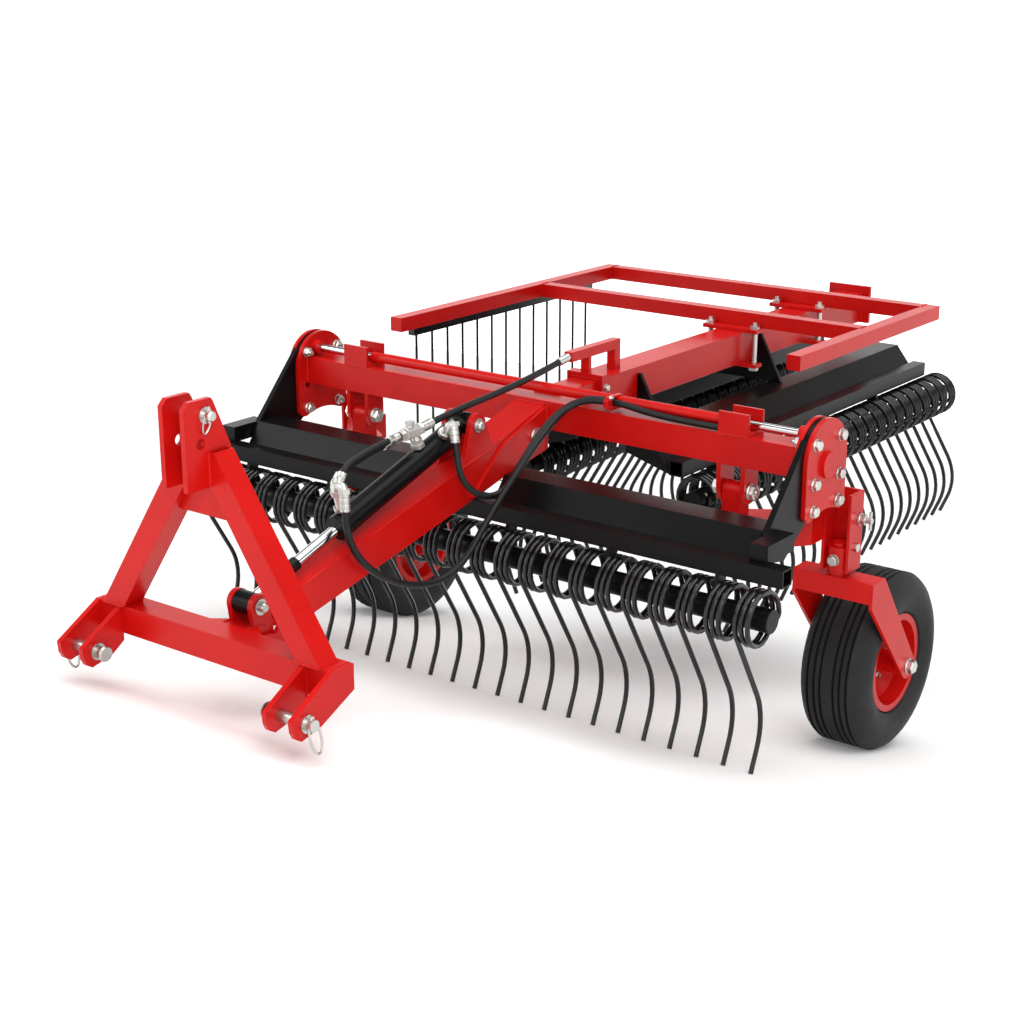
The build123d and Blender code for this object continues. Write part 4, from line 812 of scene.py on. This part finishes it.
# %% Ferrules on the hoses
# Along each ferrule: a distance from the hose's first point, and a radius.
HOSE_CRIMP = (
    (-24, 11), (-23, 13.5), (-14, 13.5), (-13, 12.6), (-10, 12.6), (-9, 13.5), (0, 13.5), (1, 12.6),
    (4, 12.6), (5, 13.5), (14, 13.5), (15, 12.6), (18, 12.6), (19, 13.2), (22, 12.2),
)
for _, points in routes.values():
    start = Vector(points[0])
    way = (Vector(points[1]) - start).normalized()
    drum(fitting_bm, start - way * 34, way, 17, 12, HEX)
    tube(fitting_bm, [start + way * s for s, r in HOSE_CRIMP], [r for s, r in HOSE_CRIMP], 20)
print("with ferrules they have", len(fitting_bm.faces))

# %% Ferrules on the short lines
# Along each ferrule: a share of its length, and a radius.
LINE_CRIMP = ((0, 9), (0.05, 12), (0.45, 12), (0.5, 11), (0.55, 12), (0.95, 12), (1, 9.6))
LINE_X = -17
line_ends = [
    ((0, -783, 894), (0, -764, 920)),
    ((0, -596, 962), (0, -556, 965)),
    ((LINE_X, -780, 887), (LINE_X, -756, 912)),
    ((LINE_X, -596, 947.4), (LINE_X, -556, 951)),
]
drum(fitting_bm, (LINE_X, -560, 951), (0, 1, 0.08), 12, 34, HEX)
valve_bend = [(LINE_X, -532, 953), (LINE_X, -514, 954), (-8, -511, 955), (0, -511, 956)]
tube(fitting_bm, valve_bend, 9, 14)
tube(fitting_bm, [(LINE_X, -778, 890), (-14, -784, 884), (-4, -788, 880)], 10, 14)
for start, end in line_ends:
    places = [Vector(start).lerp(Vector(end), s) for s, r in LINE_CRIMP]
    tube(fitting_bm, places, [r for s, r in LINE_CRIMP], 18)
fittings = piece("fitting_bodies", fitting_bm, "zinc_steel", "cylinder_barrel")
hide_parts("cylinder_fittings")

# %% [markdown]
# ## Oil lines and collars
# Two short rubber lines run over the barrel between the tee and the valve. They could be declared as
# cords, but they stay on the barrel and never hang, so they are stiff bars. The rod ends in a black
# collar and an eye round its pin. A ferrule holds the upper hose's far end on the collar of the beam.

# %% Oil lines
LINE_R = 8.5
side_line = [
    (LINE_X, -776, 893), (LINE_X, -762, 906), (LINE_X, -740, 918),
    (LINE_X, -700, 929), (LINE_X, -645, 941), (LINE_X, -590, 948),
]
top_line = [
    (0, -775, 905), (0, -762, 922), (0, -748, 933), (0, -728, 941),
    (0, -700, 947), (0, -645, 957), (0, -590, 962.4),
]
bm = bmesh.new()
for line in (side_line, top_line):
    tube(bm, line, LINE_R, PIPE_SIDES)
piece("oil_line", bm, "hose", "cylinder_barrel")

# %% Rod collar and eye
EYE_HALF, EYE_R, EYE_INNER, EYE_STEPS = 25.3, 28.3, 20, 40
COLLAR_REACHES, COLLAR_RADII = (679, 682, 722, 726), [16.2, 17.4, 17.4, 16.2]
rod_pin = Vector((0, *ROD_PIN))
bm = bmesh.new()
tube(bm, [base_pin + axis * s for s in COLLAR_REACHES], COLLAR_RADII, 28)
corners = [(-EYE_HALF, EYE_INNER), (-EYE_HALF, EYE_R), (EYE_HALF, EYE_R), (EYE_HALF, EYE_INNER)]
loop = [bm.verts.new(rod_pin + Vector((x, 0, r))) for x, r in corners]
edges = [bm.edges.new((loop[k - 1], loop[k])) for k in range(4)]
bmesh.ops.spin(
    bm,
    geom=loop + edges,
    cent=rod_pin,
    axis=(1, 0, 0),
    angle=2 * pi,
    steps=EYE_STEPS,
    use_merge=True,
)
piece("rod_collar", bm, "black_paint", "cylinder_rod")

# %% Far ferrule of the upper hose
FERRULE_SLOPE, FERRULE_SIDES = 0.14, 18
bm = bmesh.new()
for reach in (-44, -30, -16):
    lift = reach * FERRULE_SLOPE
    ridge = [(0, 180 + reach, 1038.5 + lift), (0, 190 + reach, 1040 + lift)]
    tube(bm, ridge, [11.5, 12.5], FERRULE_SIDES)
tube(bm, [(0, 132, 1032), (0, 180, 1038.8)], [10.4, 11.4], FERRULE_SIDES)
piece("hose_ferrule", bm, "zinc_steel", "frame")

# %% [markdown]
# ## Height screws on the wheel posts
# A screw with a cross bar goes through each post into its arm and sets the wheel's height. It could
# be one turned profile, but its nut has six sides and its bar lies across, so it is a stack of drums
# with a bar through the last one.

# %% Height screws
SCREW_X, SCREW_PLACE, LOW_NUT_PLACE = 895.2, (250, 715), (236, 640)
CROSS_REACH, CROSS_HALF, CROSS_R = 32, 25, 4.5
screw_y, screw_z = SCREW_PLACE
bm = bmesh.new()
for side in (-1, 1):
    x, outward = side * SCREW_X, (side, 0, 0)
    drum(bm, (x, *SCREW_PLACE), outward, 17, 5, ROUND)
    drum(bm, (x + side * 5, *SCREW_PLACE), outward, 15, 14, HEX)
    drum(bm, (x + side * 19, *SCREW_PLACE), outward, 8, 18, 16)
    cross_x = x + side * CROSS_REACH
    cross_bar = [(cross_x, screw_y, screw_z - CROSS_HALF), (cross_x, screw_y, screw_z + CROSS_HALF)]
    tube(bm, cross_bar, CROSS_R, 10)
    drum(bm, (x, *LOW_NUT_PLACE), outward, 12, 8, HEX)
piece("height_screws", bm, "zinc_steel", "frame")

# %% [markdown]
# ## Weld beads
# Where two plates are welded, a rippled bead fills the corner, and paint goes over it. Bump could
# ripple a plain corner, but a bead also catches a line of light. So each one is a thin bar whose
# radius swells and shrinks along the seam, half of it sunk in the plates.

# %% Weld beads on the hitch
RIPPLE_MM, RIPPLE_MEAN, RIPPLE_SWING, RIPPLE_TURN, BEAD_END = 3, 0.82, 0.18, 2.1, 0.5
LEAST_STEPS, BEAD_SIDES, BEAD_R = 6, 6, 4.0


def bead(bm, start, end, radius=BEAD_R):
    """A rippled weld bead between two points, thinner at its ends."""
    start, end = Vector(start), Vector(end)
    steps = max(LEAST_STEPS, int((end - start).length / RIPPLE_MM))
    places = [start.lerp(end, k / steps) for k in range(steps + 1)]
    radii = [radius * (RIPPLE_MEAN + RIPPLE_SWING * cos(RIPPLE_TURN * k)) for k in range(steps + 1)]
    for k in (0, steps):
        radii[k] *= BEAD_END
    tube(bm, places, radii, BEAD_SIDES)


LEG_X, LEG_HALF, MAST_X = 320, 36, 41.5
bm = bmesh.new()
for side in (-1, 1):
    foot, mast = side * LEG_X, side * MAST_X
    for y in (-1240, -1180):
        bead(bm, (foot - LEG_HALF, y, 645), (foot + LEG_HALF, y, 645))
        bead(bm, (mast, y, 1006), (mast, y, 1083))
    bead(bm, (side * 309, -1235, 646), (side * 309, -1235, 560))
    bead(bm, (side * 374, -1235, 644), (side * 374, -1165, 644))
    bead(bm, (side * 41, -1160, 635), (side * 41, -1085, 635))
bead(bm, (-108, -1165, 635), (108, -1165, 635))
piece("hitch_welds", bm, "red_paint", "hitch")

# %% Weld beads on the frame
BEAM_LOW, BEAM_TOP, BEAM_BACK = 875, 955, 80
STRAP_IN, STRAP_OUT = 604, 694
side_seams = [
    # Tongue and its gussets.
    ((58, 0, 820), (58, 0, 940), 5),
    ((50, -320, 760), (52, -10, 828), BEAD_R),
    # Inner end plates on the beam.
    ((PLATE_IN, 0, BEAM_TOP), (PLATE_IN, BEAM_BACK, BEAM_TOP), BEAD_R),
    ((PLATE_IN, 0, BEAM_LOW), (PLATE_IN, 0, BEAM_TOP), BEAD_R),
    ((PLATE_IN, BEAM_BACK, BEAM_LOW), (PLATE_IN, BEAM_BACK, BEAM_TOP), BEAD_R),
    # Clevises of the wheel arms, above and below the beam.
    ((STRAP_IN, 0, BEAM_TOP), (STRAP_OUT, 0, BEAM_TOP), 3),
    ((STRAP_IN, BEAM_BACK, BEAM_TOP), (STRAP_OUT, BEAM_BACK, BEAM_TOP), 3),
    *(((x, 0, BEAM_LOW), (x, 70, BEAM_LOW), 3.5) for x in (604, 616, 676, 688)),
    # Lugs for the cylinder.
    ((35, -357, 846), (35, -230, 872), 3.5),
    ((49, -357, 846), (49, -230, 872), 3.5),
    # Wheel posts, stub, hose bracket and rear end plate.
    ((815, 150, 735), (815, 262, 735), BEAD_R),
    ((44, BEAM_BACK, 960), (44, BEAM_BACK, 870), BEAD_R),
    ((14, 262, 977), (14, 276, 977), 3),
    ((50, 1900, 965), (50, 1900, 866), BEAD_R),
]
bm = bmesh.new()
for side in (-1, 1):
    for (x, *start), (end_x, *end), radius in side_seams:
        bead(bm, (side * x, *start), (side * end_x, *end), radius)
bead(bm, (-50, 0, 945), (50, 0, 945), 5)
bead(bm, (-44, BEAM_BACK, 959), (44, BEAM_BACK, 959))
bead(bm, (-50, 1900, 965), (50, 1900, 965))
# The upper frame's cross members, where they meet its side members.
for y in (1112, 1545):
    for x in (-783, 439):
        bead(bm, (x, y, 977), (x, y, 1022), 3)
        bead(bm, (x, y, 1022), (x, y + 45, 1022), 3)
        bead(bm, (x, y + 45, 977), (x, y + 45, 1022), 3)
piece("frame_welds", bm, "red_paint", "frame")
